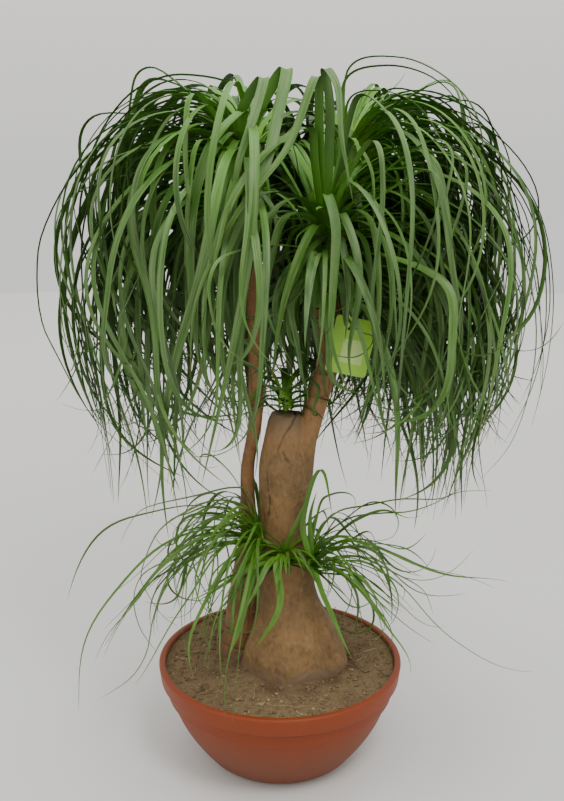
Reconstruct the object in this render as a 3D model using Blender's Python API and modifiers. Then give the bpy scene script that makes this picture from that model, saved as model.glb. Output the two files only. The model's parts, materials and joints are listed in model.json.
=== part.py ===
"""A branched ponytail palm in a shallow bowl pot, at its real size.

Metres, +Z up. The origin is the middle of the pot's foot, on the ground. The front of the
plant looks along -Y. Angles round the plant are in degrees: 0 is +X, 90 is +Y, the back.
"""

import math
import random
from dataclasses import dataclass

import bmesh
import bpy
from mathutils import Matrix, Vector, noise
from mathutils.bvhtree import BVHTree

OBJECT_NAME = "potted_ponytail_palm"

# Bowl pot: a plain lip band, a second band under it, a curved wall and a flat foot
POT_RADIUS = 0.180
POT_HEIGHT = 0.150
POT_WALL = 0.004
POT_FLOOR = 0.006
POT_STEPS = 36
LIP_WIDTH = 0.010
LIP_ROUNDING = 0.0035
LIP_BAND = 0.026
LIP_BAND_TAPER = 0.003
LIP_STEP = 0.008
SECOND_BAND = 0.023
SECOND_BAND_TAPER = 0.002
SECOND_STEP = 0.0035
FOOT_RADIUS = 0.097
FOOT_ROUNDING = 0.016
FOOT_TURN = ((1.0, 0.62), (0.45, 0.15))
STEP_SLOPE = 0.001
WALL_BELLY = 0.006
INNER_BELLY = 1.3
FLOOR_FLARE = 0.006
GROOVE = (0.050, 0.074, 0.003)
DRAIN_HOLES = 6
DRAIN_HOLE_SIDES = 8
DRAIN_HOLE_RADIUS = 0.005
DRAIN_HOLE_DEPTH = 0.04

# Soil: a little under the lip, heaped towards the back and round the trunks
SOIL_LEVEL = 0.139
SOIL_HEAP = 0.006
SOIL_HEAP_SPREAD = 0.085
SOIL_HEAP_X = 0.010
SOIL_BACK_RISE = 0.007
SOIL_BACK_FROM = -0.02
SOIL_BACK_OVER = 0.17
SOIL_ROUGHNESS = 0.0012
SOIL_WAVES = ((38.0, 1.0, 0.3), (90.0, 0.6, 1.7))
SOIL_RINGS = 5
SOIL_CLEAR = 0.0005

# Stems, as (x, y, z, radius) from the buried foot upwards
TRUNK = (
    (0.018, 0.004, 0.070, 0.050),
    (0.019, 0.004, 0.100, 0.070),
    (0.020, 0.003, 0.135, 0.077),
    (0.021, 0.003, 0.160, 0.074),
    (0.018, 0.004, 0.195, 0.060),
    (0.014, 0.004, 0.230, 0.047),
    (0.011, 0.004, 0.265, 0.039),
    (0.007, 0.003, 0.310, 0.0345),
    (0.004, 0.002, 0.360, 0.0335),
    (0.005, 0.000, 0.410, 0.035),
    (0.008, 0.000, 0.450, 0.038),
    (0.008, 0.000, 0.485, 0.031),
    (0.009, 0.001, 0.512, 0.025),
    (0.009, 0.002, 0.522, 0.020),
)
TRUNK_SIDES = 22
TRUNK_RINGS = 20
TRUNK_LOBES = ((3, 0.055, 0.6), (5, 0.035, 2.1), (8, 0.018, 4.0))
LOBES_FADE = (0.16, 0.34)
LOBES_LOSS = 0.75
STEM_ROOM = 0.00045
SIDE_STEM = (
    (-0.060, 0.026, 0.080, 0.020),
    (-0.060, 0.026, 0.110, 0.029),
    (-0.058, 0.026, 0.145, 0.032),
    (-0.053, 0.024, 0.200, 0.030),
    (-0.048, 0.022, 0.250, 0.027),
    (-0.044, 0.018, 0.300, 0.021),
    (-0.044, 0.014, 0.340, 0.014),
    (-0.0465, 0.010, 0.390, 0.0105),
    (-0.046, 0.006, 0.440, 0.0095),
    (-0.036, 0.004, 0.500, 0.0095),
    (-0.034, 0.002, 0.550, 0.0105),
    (-0.034, 0.000, 0.600, 0.0095),
    (-0.036, 0.002, 0.680, 0.0095),
    (-0.040, 0.006, 0.745, 0.0105),
    (-0.042, 0.008, 0.785, 0.012),
)
SIDE_SIDES = 10
SIDE_RINGS = 20
SIDE_LOBES = ((3, 0.05, 1.0), (4, 0.04, 0.3))
BRANCH_RIGHT = (
    (0.016, 0.000, 0.425, 0.018),
    (0.030, -0.003, 0.465, 0.0175),
    (0.045, -0.006, 0.510, 0.0145),
    (0.056, -0.008, 0.552, 0.0150),
    (0.067, -0.008, 0.600, 0.0145),
    (0.064, -0.008, 0.632, 0.0140),
    (0.060, -0.008, 0.650, 0.0140),
    (0.060, -0.008, 0.661, 0.0145),
    (0.060, -0.008, 0.672, 0.0150),
)
BRANCH_BACK = (
    (0.016, 0.006, 0.430, 0.017),
    (0.032, 0.022, 0.480, 0.0140),
    (0.052, 0.036, 0.540, 0.0130),
    (0.068, 0.044, 0.600, 0.0130),
    (0.082, 0.054, 0.670, 0.0120),
    (0.092, 0.062, 0.730, 0.0120),
    (0.094, 0.064, 0.760, 0.0125),
    (0.094, 0.064, 0.775, 0.0130),
    (0.094, 0.064, 0.790, 0.0130),
)
BRANCH_POINTS = 11

# Hang tag: a soft plastic plate with a loop round the right branch
TAG_SIZE = (0.056, 0.0012, 0.078)
TAG_CORNER = 0.004
TAG_LEAN = 12
TAG_CENTRE = (0.096, -0.034, 0.622)
TAG_LOOP_AT = (0.0602, -0.008, 0.656)
TAG_LOOP_RADIUS = 0.0163
TAG_LOOP_WIRE = 0.0013
TAG_STRAP_WIRE = 0.00156
TAG_STRAP_FROM = (0.0147, -0.007, 0.0)
TAG_STRAP_TO = (0.002, 0.0, 0.0328)

# Leaves: how their roots sit in the core, low and old ones first
GOLDEN_ANGLE = 137.508
AZIMUTH_SCATTER = 12.0
ROOT_DEPTH = 0.55
ROOT_DEPTH_LOSS = 0.45
ROOT_RISE = (0.14, 0.80)
CHOSEN_ROOT = 0.9

# Leaves: how age changes reach, length and elevation
YOUNG_FROM = 0.90
AGE_CURVE = 0.7
AGE_SCATTER = 0.16
REACH_LOSS_BEHIND = 0.40
REACH_LOSS_YOUNG = 0.55
LENGTH_LOSS_YOUNG = 0.28
ELEVATION_GAIN = 10.0
ELEVATION_SCATTER = 8.0
STEEPEST = 86.0
DRIFT_SCATTER = 0.55
TWIST_SCATTER = 50.0
NARROWEST = 0.72
TIP_SCATTER = 0.09

# Leaves: the path of each
PATH_STEPS = 48
BEND_SAMPLES = 24
STRAIGHT_SHARE = 0.05
LEAST_BEND = 0.03
LEAST_LEVEL_SHARE = 0.2
POST_FADE = 0.05
LOWEST_LEAF = 0.014
LOWEST_OVER_POT = 0.164
OVER_POT_RADIUS = 0.200

# Leaves: the blade laid along the path
BEND_STATIONS = (0.16, 0.38, 0.60, 0.84)
TANGENT_SHARE = 0.03
BASE_WIDTH = 0.40
BASE_SHARE = 0.15
TAPER_FROM = 0.35
TAPER_OVER = 0.75
TIP_WIDTH = 0.02
KEEL_SHARE = 0.13
KEEL_LEAST = 0.0010
OUTSIDE_CORE = 0.045
TOUCH_MARGIN = 0.0006
CORE_SIDES = 8
CORE_CURVE = ((0.16, 0.86), (0.45, 1.0), (0.78, 0.86), (0.95, 0.45))


@dataclass(frozen=True)
class Plane:
    """A vertical plane that a head's leaves stay in front of."""

    point: tuple
    facing: float
    softness: float = 0.006
    margin: float = 0.0085


@dataclass(frozen=True)
class Post:
    """An upright stretch of stem or tag that hanging leaves part round."""

    at: tuple
    radius: float
    bottom: float
    top: float


@dataclass(frozen=True)
class Head:
    """A tuft of leaves on a short core, and the rule that its leaves follow."""

    name: str
    foot: tuple
    height: float
    core_radius: float
    foot_radius: float
    drawn: int
    kept: int
    facing: float
    gather: float
    reach: tuple
    length: tuple
    elevation: tuple
    end_elevation: tuple
    width: float
    tips_above: tuple
    planes: tuple = ()
    posts: tuple = ()
    chosen: tuple = ()


@dataclass(frozen=True)
class Leaf:
    """One leaf: where it leaves its core, and how it rises, turns over and hangs."""

    root: tuple
    azimuth: float
    elevation: float
    end_elevation: float
    reach: float
    length: float
    drift: float
    twist: float
    width: float
    tip_above: float


STEM_POSTS = (
    Post((0.010, 0.002), 0.058, 0.10, 0.56),
    Post((-0.037, 0.006), 0.022, 0.40, 0.80),
    Post((0.062, -0.008), 0.027, 0.50, 0.69),
    Post((0.076, 0.048), 0.026, 0.50, 0.80),
    Post((0.098, -0.034), 0.036, 0.57, 0.68),
)

CANOPY = {
    "length": (0.60, 0.88),
    "elevation": (66.0, 46.0),
    "end_elevation": (-80.0, -108.0),
    "width": 0.0150,
    "tips_above": (0.62, 0.412),
    "posts": STEM_POSTS,
}

# Chosen leaves: azimuth, elevation, end elevation, reach, length, drift, twist
HEADS = (
    Head(
        name="head_middle", foot=(0.008, 0.004, 0.5229), height=0.032, core_radius=0.013,
        foot_radius=0.012, drawn=40, kept=14, facing=90.0, gather=0.9, reach=(0.03, 0.085),
        length=(0.12, 0.20), elevation=(84.0, 45.0), end_elevation=(-30.0, -75.0),
        width=0.0115, tips_above=(0.56, 0.56),
    ),
    Head(
        name="head_left", foot=(-0.042, 0.008, 0.7853), height=0.120, core_radius=0.023,
        foot_radius=0.013, drawn=330, kept=90, facing=200.0, gather=0.84, reach=(0.08, 0.285),
        planes=(Plane((0.014, 0.0), 205.0),),
        chosen=(
            (178, 48, -118, 0.290, 0.90, 0.25, 20), (167, 44, -100, 0.280, 0.86, -0.2, -25),
            (188, 46, -98, 0.280, 0.86, 0.2, 30), (201, 52, -94, 0.265, 0.84, -0.2, 10),
            (154, 48, -96, 0.270, 0.82, 0.3, -15), (216, 50, -92, 0.250, 0.86, 0.1, 25),
            (193, 40, -98, 0.285, 0.82, -0.3, -35), (230, 56, -90, 0.225, 0.84, 0.3, 15),
            (258, 74, -88, 0.130, 0.74, 0.2, 10), (276, 78, -88, 0.120, 0.66, -0.2, -12),
            (120, 50, -92, 0.270, 0.84, 0.2, 20), (95, 50, -90, 0.270, 0.84, -0.2, 10),
            (290, 72, -90, 0.160, 0.70, 0.1, 10), (243, 66, -90, 0.180, 0.80, 0.2, -10),
        ),
        **CANOPY,
    ),
    Head(
        name="head_back", foot=(0.094, 0.064, 0.7903), height=0.120, core_radius=0.023,
        foot_radius=0.013, drawn=270, kept=70, facing=62.0, gather=0.60, reach=(0.08, 0.280),
        planes=(Plane((0.014, 0.0), 25.0), Plane((0.080, 0.030), 108.0)),
        chosen=(
            (8, 50, -94, 0.262, 0.84, -0.1, 20), (18, 44, -100, 0.262, 0.84, 0.2, -20),
            (30, 50, -92, 0.268, 0.84, 0.2, 10), (14, 30, -45, 0.180, 0.46, -0.3, 30),
            (60, 50, -92, 0.275, 0.84, 0.2, 12), (90, 50, -92, 0.265, 0.84, -0.2, 20),
            (24, 62, -92, 0.200, 0.80, 0.3, 30), (122, 56, -92, 0.230, 0.84, 0.2, -15),
        ),
        **CANOPY,
    ),
    Head(
        name="head_right", foot=(0.060, -0.008, 0.6723), height=0.135, core_radius=0.022,
        foot_radius=0.0155, drawn=270, kept=70, facing=-30.0, gather=0.64, reach=(0.07, 0.300),
        planes=(Plane((0.014, 0.0), 25.0), Plane((0.080, 0.030), -72.0)),
        chosen=(
            (-6, 58, -92, 0.305, 0.80, 0.1, 20), (-18, 64, -98, 0.295, 0.78, -0.2, -20),
            (-32, 60, -92, 0.280, 0.76, 0.2, 10), (-48, 66, -92, 0.250, 0.74, 0.2, 20),
            (-62, 72, -88, 0.180, 0.70, 0.2, 8), (-76, 80, -88, 0.120, 0.68, 0.2, -10),
            (4, 66, -90, 0.270, 0.76, -0.2, 15), (-40, 82, -88, 0.120, 0.66, 0.1, 10),
        ),
        **CANOPY,
    ),
)

SHOOT = {
    "height": 0.020,
    "core_radius": 0.009,
    "foot_radius": 0.008,
    "elevation": (78.0, 30.0),
    "end_elevation": (-60.0, -112.0),
    "tips_above": (0.12, 0.02),
}
SHOOTS = (
    Head(
        name="shoot_left", foot=(-0.0260, -0.0160, 0.322), drawn=60, kept=24, facing=188.0, gather=0.42,
        reach=(0.06, 0.235), length=(0.20, 0.44), width=0.0052,
        chosen=(
            (182, 52, -100, 0.225, 0.46, 0.2, 20), (196, 60, -96, 0.205, 0.42, -0.2, -20),
            (206, 38, -92, 0.190, 0.40, 0.3, 30), (172, 64, -98, 0.195, 0.40, 0.1, 10),
        ),
        **SHOOT,
    ),
    Head(
        name="shoot_centre", foot=(0.0080, -0.0355, 0.306), drawn=40, kept=16, facing=262.0, gather=0.50,
        reach=(0.05, 0.16), length=(0.16, 0.30), width=0.0080, **SHOOT,
    ),
    Head(
        name="shoot_right", foot=(0.0424, -0.0178, 0.292), drawn=56, kept=22, facing=-12.0, gather=0.45,
        reach=(0.06, 0.22), length=(0.18, 0.40), width=0.0056,
        chosen=(
            (2, 66, -52, 0.215, 0.40, 0.1, 20), (-6, 52, -92, 0.200, 0.38, -0.2, -20),
            (-20, 58, -90, 0.170, 0.36, 0.3, 30), (14, 60, -88, 0.180, 0.36, 0.1, 10),
        ),
        **SHOOT,
    ),
)

# Colour, metallic value and roughness of each finish
FINISHES = {
    "terracotta": ((0.36, 0.085, 0.035), 0.0, 0.42),
    "soil": ((0.115, 0.080, 0.048), 0.0, 0.95),
    "bark": ((0.30, 0.165, 0.085), 0.0, 0.85),
    "reddish_bark": ((0.22, 0.095, 0.050), 0.0, 0.85),
    "leaf": ((0.055, 0.150, 0.030), 0.0, 0.45),
    "young_leaf": ((0.115, 0.260, 0.045), 0.0, 0.45),
    "tag_plastic": ((0.38, 0.75, 0.06), 0.0, 0.35),
}


def clear_scene():
    """Remove what the file holds, so that only this plant is in it."""
    for obj in list(bpy.data.objects):
        bpy.data.objects.remove(obj, do_unlink=True)


def new_collection(name, hidden=False):
    collection = bpy.data.collections.new(name)
    collection.hide_render = hidden
    bpy.context.scene.collection.children.link(collection)
    return collection


def finish(name):
    """The finish's material, made once."""
    found = bpy.data.materials.get(name)
    if found:
        return found
    colour, metallic, roughness = FINISHES[name]
    material = bpy.data.materials.new(name)
    material.use_nodes = True
    shader = material.node_tree.nodes["Principled BSDF"]
    shader.inputs["Base Color"].default_value = (*colour, 1.0)
    shader.inputs["Metallic"].default_value = metallic
    shader.inputs["Roughness"].default_value = roughness
    material.diffuse_color = (*colour, 1.0)
    return material


def dressed(obj, finish_name):
    obj.data.materials.clear()
    obj.data.materials.append(finish(finish_name))
    return obj


def placed(mesh, name, collection):
    obj = bpy.data.objects.new(name, mesh)
    collection.objects.link(obj)
    return obj


def mesh_of(name, points, faces):
    mesh = bpy.data.meshes.new(name)
    mesh.from_pydata([tuple(point) for point in points], [], faces)
    mesh.update()
    return mesh


def turned(name, profile, steps, collection):
    """A profile of (radius, height) points turned round Z. It runs down its outer side."""
    mesh = bpy.data.meshes.new(name)
    edges = [(index, index + 1) for index in range(len(profile) - 1)]
    mesh.from_pydata([(radius, 0.0, height) for radius, height in profile], edges, [])
    obj = placed(mesh, name, collection)
    screw = obj.modifiers.new("turn", "SCREW")
    screw.steps = steps
    screw.render_steps = steps
    screw.use_merge_vertices = True
    screw.merge_threshold = 0.0001
    return obj


def boolean(obj, operation, other, solver="EXACT"):
    """Join or cut an object with another object, or with all of a collection."""
    modifier = obj.modifiers.new(operation.lower(), "BOOLEAN")
    modifier.operation = operation
    modifier.solver = solver
    if isinstance(other, bpy.types.Collection):
        modifier.operand_type = "COLLECTION"
        modifier.collection = other
    else:
        modifier.object = other
    return modifier


def realise(obj):
    """Make an object's modifiers part of its mesh."""
    bpy.context.view_layer.update()
    graph = bpy.context.evaluated_depsgraph_get()
    mesh = bpy.data.meshes.new_from_object(obj.evaluated_get(graph))
    mesh.name = obj.name
    obj.modifiers.clear()
    obj.data = mesh
    return obj


def keep_main_skin(obj):
    """Keep the largest connected skin: this fills hollows that joining sealed, and drops scraps."""
    work = bmesh.new()
    work.from_mesh(obj.data)
    waiting = set(work.faces)
    skins = []
    while waiting:
        front = [waiting.pop()]
        skin = set(front)
        while front:
            near = {face for one in front for edge in one.edges for face in edge.link_faces} - skin
            skin |= near
            front = list(near)
        waiting -= skin
        skins.append(skin)
    main_skin = max(skins, key=len)
    extra = [face for face in work.faces if face not in main_skin]
    bmesh.ops.delete(work, geom=extra, context="FACES")
    work.to_mesh(obj.data)
    work.free()


def as_cutter(obj):
    obj.hide_render = True
    obj.display_type = "WIRE"
    return obj


def shade(obj, angle=35.0):
    obj.data.shade_smooth()
    obj.data.set_sharp_from_angle(angle=math.radians(angle))
    return obj


def arc(centre, radius, start, end, count):
    """Points on an arc in the profile's plane, angles in degrees."""
    angles = [math.radians(start + (end - start) * step / count) for step in range(count + 1)]
    return [
        (centre[0] + radius * math.cos(angle), centre[1] + radius * math.sin(angle))
        for angle in angles
    ]


def mixed(low, high, share):
    return low + (high - low) * share


def smoothstep(share):
    share = min(1.0, max(0.0, share))
    return share * share * (3.0 - 2.0 * share)


def spline(stations, count):
    """Points at even steps of a smooth curve through the stations, of any number of values."""
    padded = [stations[0], *stations, stations[-1]]
    spans = len(stations) - 1
    points = []
    for index in range(count + 1):
        place = spans * index / count
        span = min(int(place), spans - 1)
        t = place - span
        before, start, end, after = padded[span : span + 4]
        points.append(
            tuple(
                0.5 * (2 * b + (c - a) * t + (2 * a - 5 * b + 4 * c - d) * t**2
                       + (3 * b - a - 3 * c + d) * t**3)
                for a, b, c, d in zip(before, start, end, after)
            )
        )
    return points


def loft(name, rings):
    """A closed solid through rings of points, with a fan at each end."""
    sides = len(rings[0])
    points = [point for ring in rings for point in ring]
    faces = []
    for ring in range(len(rings) - 1):
        low = ring * sides
        for side in range(sides):
            after = (side + 1) % sides
            faces.append((low + side, low + after, low + sides + after, low + sides + side))
    for first, order in ((0, -1), (len(points) - sides, 1)):
        ring = points[first : first + sides]
        middle = len(points)
        points.append(sum((Vector(point) for point in ring), Vector()) / sides)
        for side in range(sides):
            pair = (first + side, first + (side + 1) % sides)
            faces.append((*pair[::order], middle))
    return mesh_of(name, points, faces)


def stem_rings(stations, sides, rings, lobes, fade, grow=0.0):
    """Level rings up a stem. Lobes ripple its foot and fade out between two heights."""
    found = []
    for x, y, z, radius in spline(stations, rings):
        swell = 1.0 - LOBES_LOSS * smoothstep((z - fade[0]) / (fade[1] - fade[0]))
        ring = []
        for side in range(sides):
            angle = 2.0 * math.pi * side / sides
            ripple = sum(depth * math.cos(count * angle + turn) for count, depth, turn in lobes)
            out = radius * (1.0 + swell * ripple) + grow
            ring.append((x + out * math.cos(angle), y + out * math.sin(angle), z))
        found.append(ring)
    if grow:
        found[0] = [(x, y, z - grow) for x, y, z in found[0]]
        found[-1] = [(x, y, z + grow) for x, y, z in found[-1]]
    return found


def tube(name, stations, points, sides_quarter, collection):
    """A branch: a curve whose bevel follows the stations' radii, made a mesh with welded caps."""
    curve = bpy.data.curves.new(name, "CURVE")
    curve.dimensions = "3D"
    curve.bevel_depth = 1.0
    curve.bevel_resolution = sides_quarter
    curve.use_fill_caps = True
    route = curve.splines.new("POLY")
    route.points.add(points)
    for point, (x, y, z, radius) in zip(route.points, spline(stations, points)):
        point.co = (x, y, z, 1.0)
        point.radius = radius
    guide = placed(curve, name + "_route", collection)
    bpy.context.view_layer.update()
    graph = bpy.context.evaluated_depsgraph_get()
    mesh = bpy.data.meshes.new_from_object(guide.evaluated_get(graph))
    mesh.name = name
    bpy.data.objects.remove(guide, do_unlink=True)
    work = bmesh.new()
    work.from_mesh(mesh)
    bmesh.ops.remove_doubles(work, verts=work.verts, dist=0.00001)
    bmesh.ops.recalc_face_normals(work, faces=work.faces)
    work.to_mesh(mesh)
    work.free()
    return placed(mesh, name, collection)


def wall_curve(top, bottom, belly, count):
    """The pot's wall from under its bands to its foot, swelling a little between."""
    points = []
    for step in range(count + 1):
        share = step / count
        swell = belly * math.sin(math.pi * share)
        points.append((mixed(top[0], bottom[0], share) + swell, mixed(top[1], bottom[1], share)))
    return points


def pot_radii():
    """Outer radius and height at each turn of the pot's outer side."""
    band_low = POT_HEIGHT - LIP_BAND
    band_low_radius = POT_RADIUS - LIP_BAND_TAPER
    second_radius = band_low_radius - LIP_STEP
    second_low = band_low - SECOND_BAND
    wall_radius = second_radius - SECOND_BAND_TAPER - SECOND_STEP
    return band_low, band_low_radius, second_radius, second_low, wall_radius


def inner_wall(count):
    """Points up the inside of the pot, from the floor to under the lip."""
    _, _, second_radius, second_low, wall_radius = pot_radii()
    low = (FOOT_RADIUS + FLOOR_FLARE, POT_FLOOR)
    high = (wall_radius - POT_WALL, second_low)
    rising = wall_curve(high, low, WALL_BELLY * INNER_BELLY, count)[::-1]
    shoulder = (second_radius - SECOND_BAND_TAPER - POT_WALL, POT_HEIGHT - LIP_BAND)
    brim = (POT_RADIUS - LIP_WIDTH, POT_HEIGHT - LIP_BAND + LIP_STEP)
    return [*rising, shoulder, brim]


def pot_profile():
    band_low, band_low_radius, second_radius, second_low, wall_radius = pot_radii()
    lip_in = POT_RADIUS - LIP_WIDTH
    rounding = LIP_ROUNDING
    groove_in, groove_out, groove_deep = GROOVE
    foot_top, foot_low = (
        (FOOT_RADIUS + FOOT_ROUNDING * out, FOOT_ROUNDING * up) for out, up in FOOT_TURN
    )
    wall = wall_curve((wall_radius, second_low - STEP_SLOPE), foot_top, WALL_BELLY, 3)
    lip = arc((lip_in + rounding, POT_HEIGHT - rounding), rounding, 180, 90, 2)
    lip += arc((POT_RADIUS - rounding, POT_HEIGHT - rounding), rounding, 90, 0, 2)
    return [
        (0.0, POT_FLOOR),
        *inner_wall(3),
        *lip,
        (band_low_radius, band_low + STEP_SLOPE),
        (second_radius, band_low),
        (second_radius - SECOND_BAND_TAPER, second_low),
        *wall,
        foot_low,
        (FOOT_RADIUS, 0.0),
        (groove_out, 0.0),
        (groove_out - groove_deep, groove_deep),
        (groove_in + groove_deep, groove_deep),
        (groove_in, 0.0),
        (0.0, 0.0),
    ]


def make_pot(parts, cutters):
    pot = turned("pot", pot_profile(), POT_STEPS, parts)
    realise(pot)
    drain_circle = (GROOVE[0] + GROOVE[1]) / 2
    for hole in range(DRAIN_HOLES):
        angle = 2.0 * math.pi * (hole + 0.5) / DRAIN_HOLES
        bpy.ops.mesh.primitive_cylinder_add(
            vertices=DRAIN_HOLE_SIDES, radius=DRAIN_HOLE_RADIUS, depth=DRAIN_HOLE_DEPTH,
            location=(drain_circle * math.cos(angle), drain_circle * math.sin(angle), 0.0),
        )
        drill = as_cutter(bpy.context.object)
        drill.name = f"drain_drill_{hole + 1}"
        for collection in drill.users_collection:
            collection.objects.unlink(drill)
        cutters.objects.link(drill)
    boolean(pot, "DIFFERENCE", cutters)
    realise(pot)
    for drill in list(cutters.objects):
        bpy.data.objects.remove(drill, do_unlink=True)
    return dressed(shade(pot), "terracotta")


def soil_top(x, y):
    """Height of the soil: heaped round the trunks, higher at the back, finely uneven."""
    near = math.exp(-((x - SOIL_HEAP_X) ** 2 + y**2) / SOIL_HEAP_SPREAD**2)
    back = smoothstep((y - SOIL_BACK_FROM) / SOIL_BACK_OVER)
    uneven = sum(
        noise.noise(Vector((x, y, layer)) * pitch) * share for pitch, share, layer in SOIL_WAVES
    )
    return SOIL_LEVEL + SOIL_HEAP * near + SOIL_BACK_RISE * back + uneven * SOIL_ROUGHNESS


def make_soil(parts, feet):
    """The fill of the bowl. Its top is turned flat above the lip, then dropped to its height."""
    sides = [(radius - SOIL_CLEAR, height) for radius, height in inner_wall(3)]
    sides[0] = (sides[0][0], POT_FLOOR + SOIL_CLEAR)
    brim = POT_RADIUS - LIP_WIDTH - SOIL_CLEAR
    above = POT_HEIGHT * 2.0
    rings = [(brim * (1.0 - ring / SOIL_RINGS), above) for ring in range(SOIL_RINGS + 1)]
    outline = [(0.0, POT_FLOOR + SOIL_CLEAR), *sides, *rings]
    soil = turned("soil", outline[::-1], POT_STEPS, parts)
    realise(soil)
    for vertex in soil.data.vertices:
        if vertex.co.z > POT_HEIGHT:
            vertex.co.z = soil_top(vertex.co.x, vertex.co.y)
    for foot in feet:
        boolean(soil, "DIFFERENCE", foot)
    realise(soil)
    return dressed(shade(soil, 60.0), "soil")


def make_trunk(parts, side_cutter):
    """The swollen foot, the trunk to its old cut, and the branches that it grew after."""
    rings = stem_rings(TRUNK, TRUNK_SIDES, TRUNK_RINGS, TRUNK_LOBES, LOBES_FADE)
    trunk = placed(loft("trunk_main", rings), "trunk_main", parts)
    branches = [
        tube("branch_right", BRANCH_RIGHT, BRANCH_POINTS, 4, parts),
        tube("branch_back", BRANCH_BACK, BRANCH_POINTS, 3, parts),
    ]
    for branch in branches:
        boolean(trunk, "UNION", branch)
    boolean(trunk, "DIFFERENCE", side_cutter)
    realise(trunk)
    for branch in branches:
        bpy.data.objects.remove(branch, do_unlink=True)
    return dressed(shade(trunk), "bark")


def make_side_stem(parts):
    rings = stem_rings(SIDE_STEM, SIDE_SIDES, SIDE_RINGS, SIDE_LOBES, LOBES_FADE)
    stem = placed(loft("trunk_side", rings), "trunk_side", parts)
    return dressed(shade(stem), "reddish_bark")


def make_tag(parts):
    """A thin plate with rounded corners, and the loop that hangs it on the branch."""
    width, thick, tall = TAG_SIZE
    half_wide = width / 2 - TAG_CORNER
    half_tall = tall / 2 - TAG_CORNER
    outline = []
    for side_x, side_z, start in ((1, 1, 0), (-1, 1, 90), (-1, -1, 180), (1, -1, 270)):
        centre = (side_x * half_wide, side_z * half_tall)
        outline += arc(centre, TAG_CORNER, start, start + 90, 2)
    rings = [[(x, depth, z) for x, z in outline] for depth in (thick / 2, -thick / 2)]
    tag = placed(loft("label", rings), "label", parts)
    tag.data.transform(Matrix.Rotation(math.radians(TAG_LEAN), 4, "Y"))
    tag.data.transform(Matrix.Translation(TAG_CENTRE))
    bpy.ops.mesh.primitive_torus_add(
        major_radius=TAG_LOOP_RADIUS, minor_radius=TAG_LOOP_WIRE,
        major_segments=16, minor_segments=4, location=TAG_LOOP_AT,
    )
    loop = bpy.context.object
    start = Vector(TAG_LOOP_AT) + Vector(TAG_STRAP_FROM)
    end = Vector(TAG_CENTRE) + Vector(TAG_STRAP_TO)
    strap = tube("tag_strap", ((*start, TAG_STRAP_WIRE), (*end, TAG_STRAP_WIRE)), 1, 1, parts)
    for piece in (loop, strap):
        boolean(tag, "UNION", piece)
    realise(tag)
    for piece in (loop, strap):
        bpy.data.objects.remove(piece, do_unlink=True)
    return dressed(shade(tag), "tag_plastic")


def wrapped(angle):
    """The same angle between -180 and 180."""
    return (angle + 180.0) % 360.0 - 180.0


def root_on(head, azimuth, share):
    """A place inside the head's core, part of the way out towards its skin."""
    out = head.core_radius * ROOT_DEPTH * (1.0 - ROOT_DEPTH_LOSS * share**3)
    angle = math.radians(azimuth)
    x, y, z = head.foot
    rise = head.height * mixed(*ROOT_RISE, share)
    return (x + out * math.cos(angle), y + out * math.sin(angle), z + rise)


def lowest_tip(head, reach):
    """Leaves that hang close to the stems end higher up than those that reach far out."""
    near, far = head.reach
    return mixed(*head.tips_above, min(1.0, max(0.0, (reach - near) / (far - near))))


def leaf_of(head, number):
    """The leaf that the head's rule gives for a number. Low numbers are the old, low leaves."""
    draw = random.Random(f"{head.name} {number}")
    share = (number + 0.5) / head.drawn
    scatter = draw.uniform(-AZIMUTH_SCATTER, AZIMUTH_SCATTER)
    turned_by = wrapped(number * GOLDEN_ANGLE + scatter - head.facing)
    azimuth = head.facing + head.gather * turned_by
    away = abs(turned_by) / 180.0
    young = smoothstep((share - YOUNG_FROM) / (1.0 - YOUNG_FROM))
    wide = min(1.0, max(0.0, share**AGE_CURVE + draw.uniform(-AGE_SCATTER, AGE_SCATTER)))
    reach = mixed(*head.reach, wide)
    reach *= (1.0 - REACH_LOSS_BEHIND * away) * (1.0 - REACH_LOSS_YOUNG * young)
    length = mixed(*head.length, draw.random()) * (1.0 - LENGTH_LOSS_YOUNG * young)
    elevation = mixed(*head.elevation, wide) + ELEVATION_GAIN * (share - 0.5)
    elevation += draw.uniform(-ELEVATION_SCATTER, ELEVATION_SCATTER)
    return Leaf(
        root=root_on(head, azimuth, share),
        azimuth=azimuth,
        elevation=min(STEEPEST, elevation),
        end_elevation=mixed(*head.end_elevation, draw.random()),
        reach=reach,
        length=length,
        drift=draw.uniform(-DRIFT_SCATTER, DRIFT_SCATTER),
        twist=draw.uniform(-TWIST_SCATTER, TWIST_SCATTER),
        width=head.width * draw.uniform(NARROWEST, 1.0),
        tip_above=lowest_tip(head, reach) + TIP_SCATTER * draw.random(),
    )


def chosen_leaf(head, values):
    """A leaf given by hand: the ones that make the plant's outline."""
    azimuth, elevation, end_elevation, reach, length, drift, twist = values
    return Leaf(
        root=root_on(head, azimuth, CHOSEN_ROOT),
        azimuth=azimuth,
        elevation=elevation,
        end_elevation=end_elevation,
        reach=reach,
        length=length,
        drift=drift,
        twist=twist,
        width=head.width,
        tip_above=lowest_tip(head, reach),
    )


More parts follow.
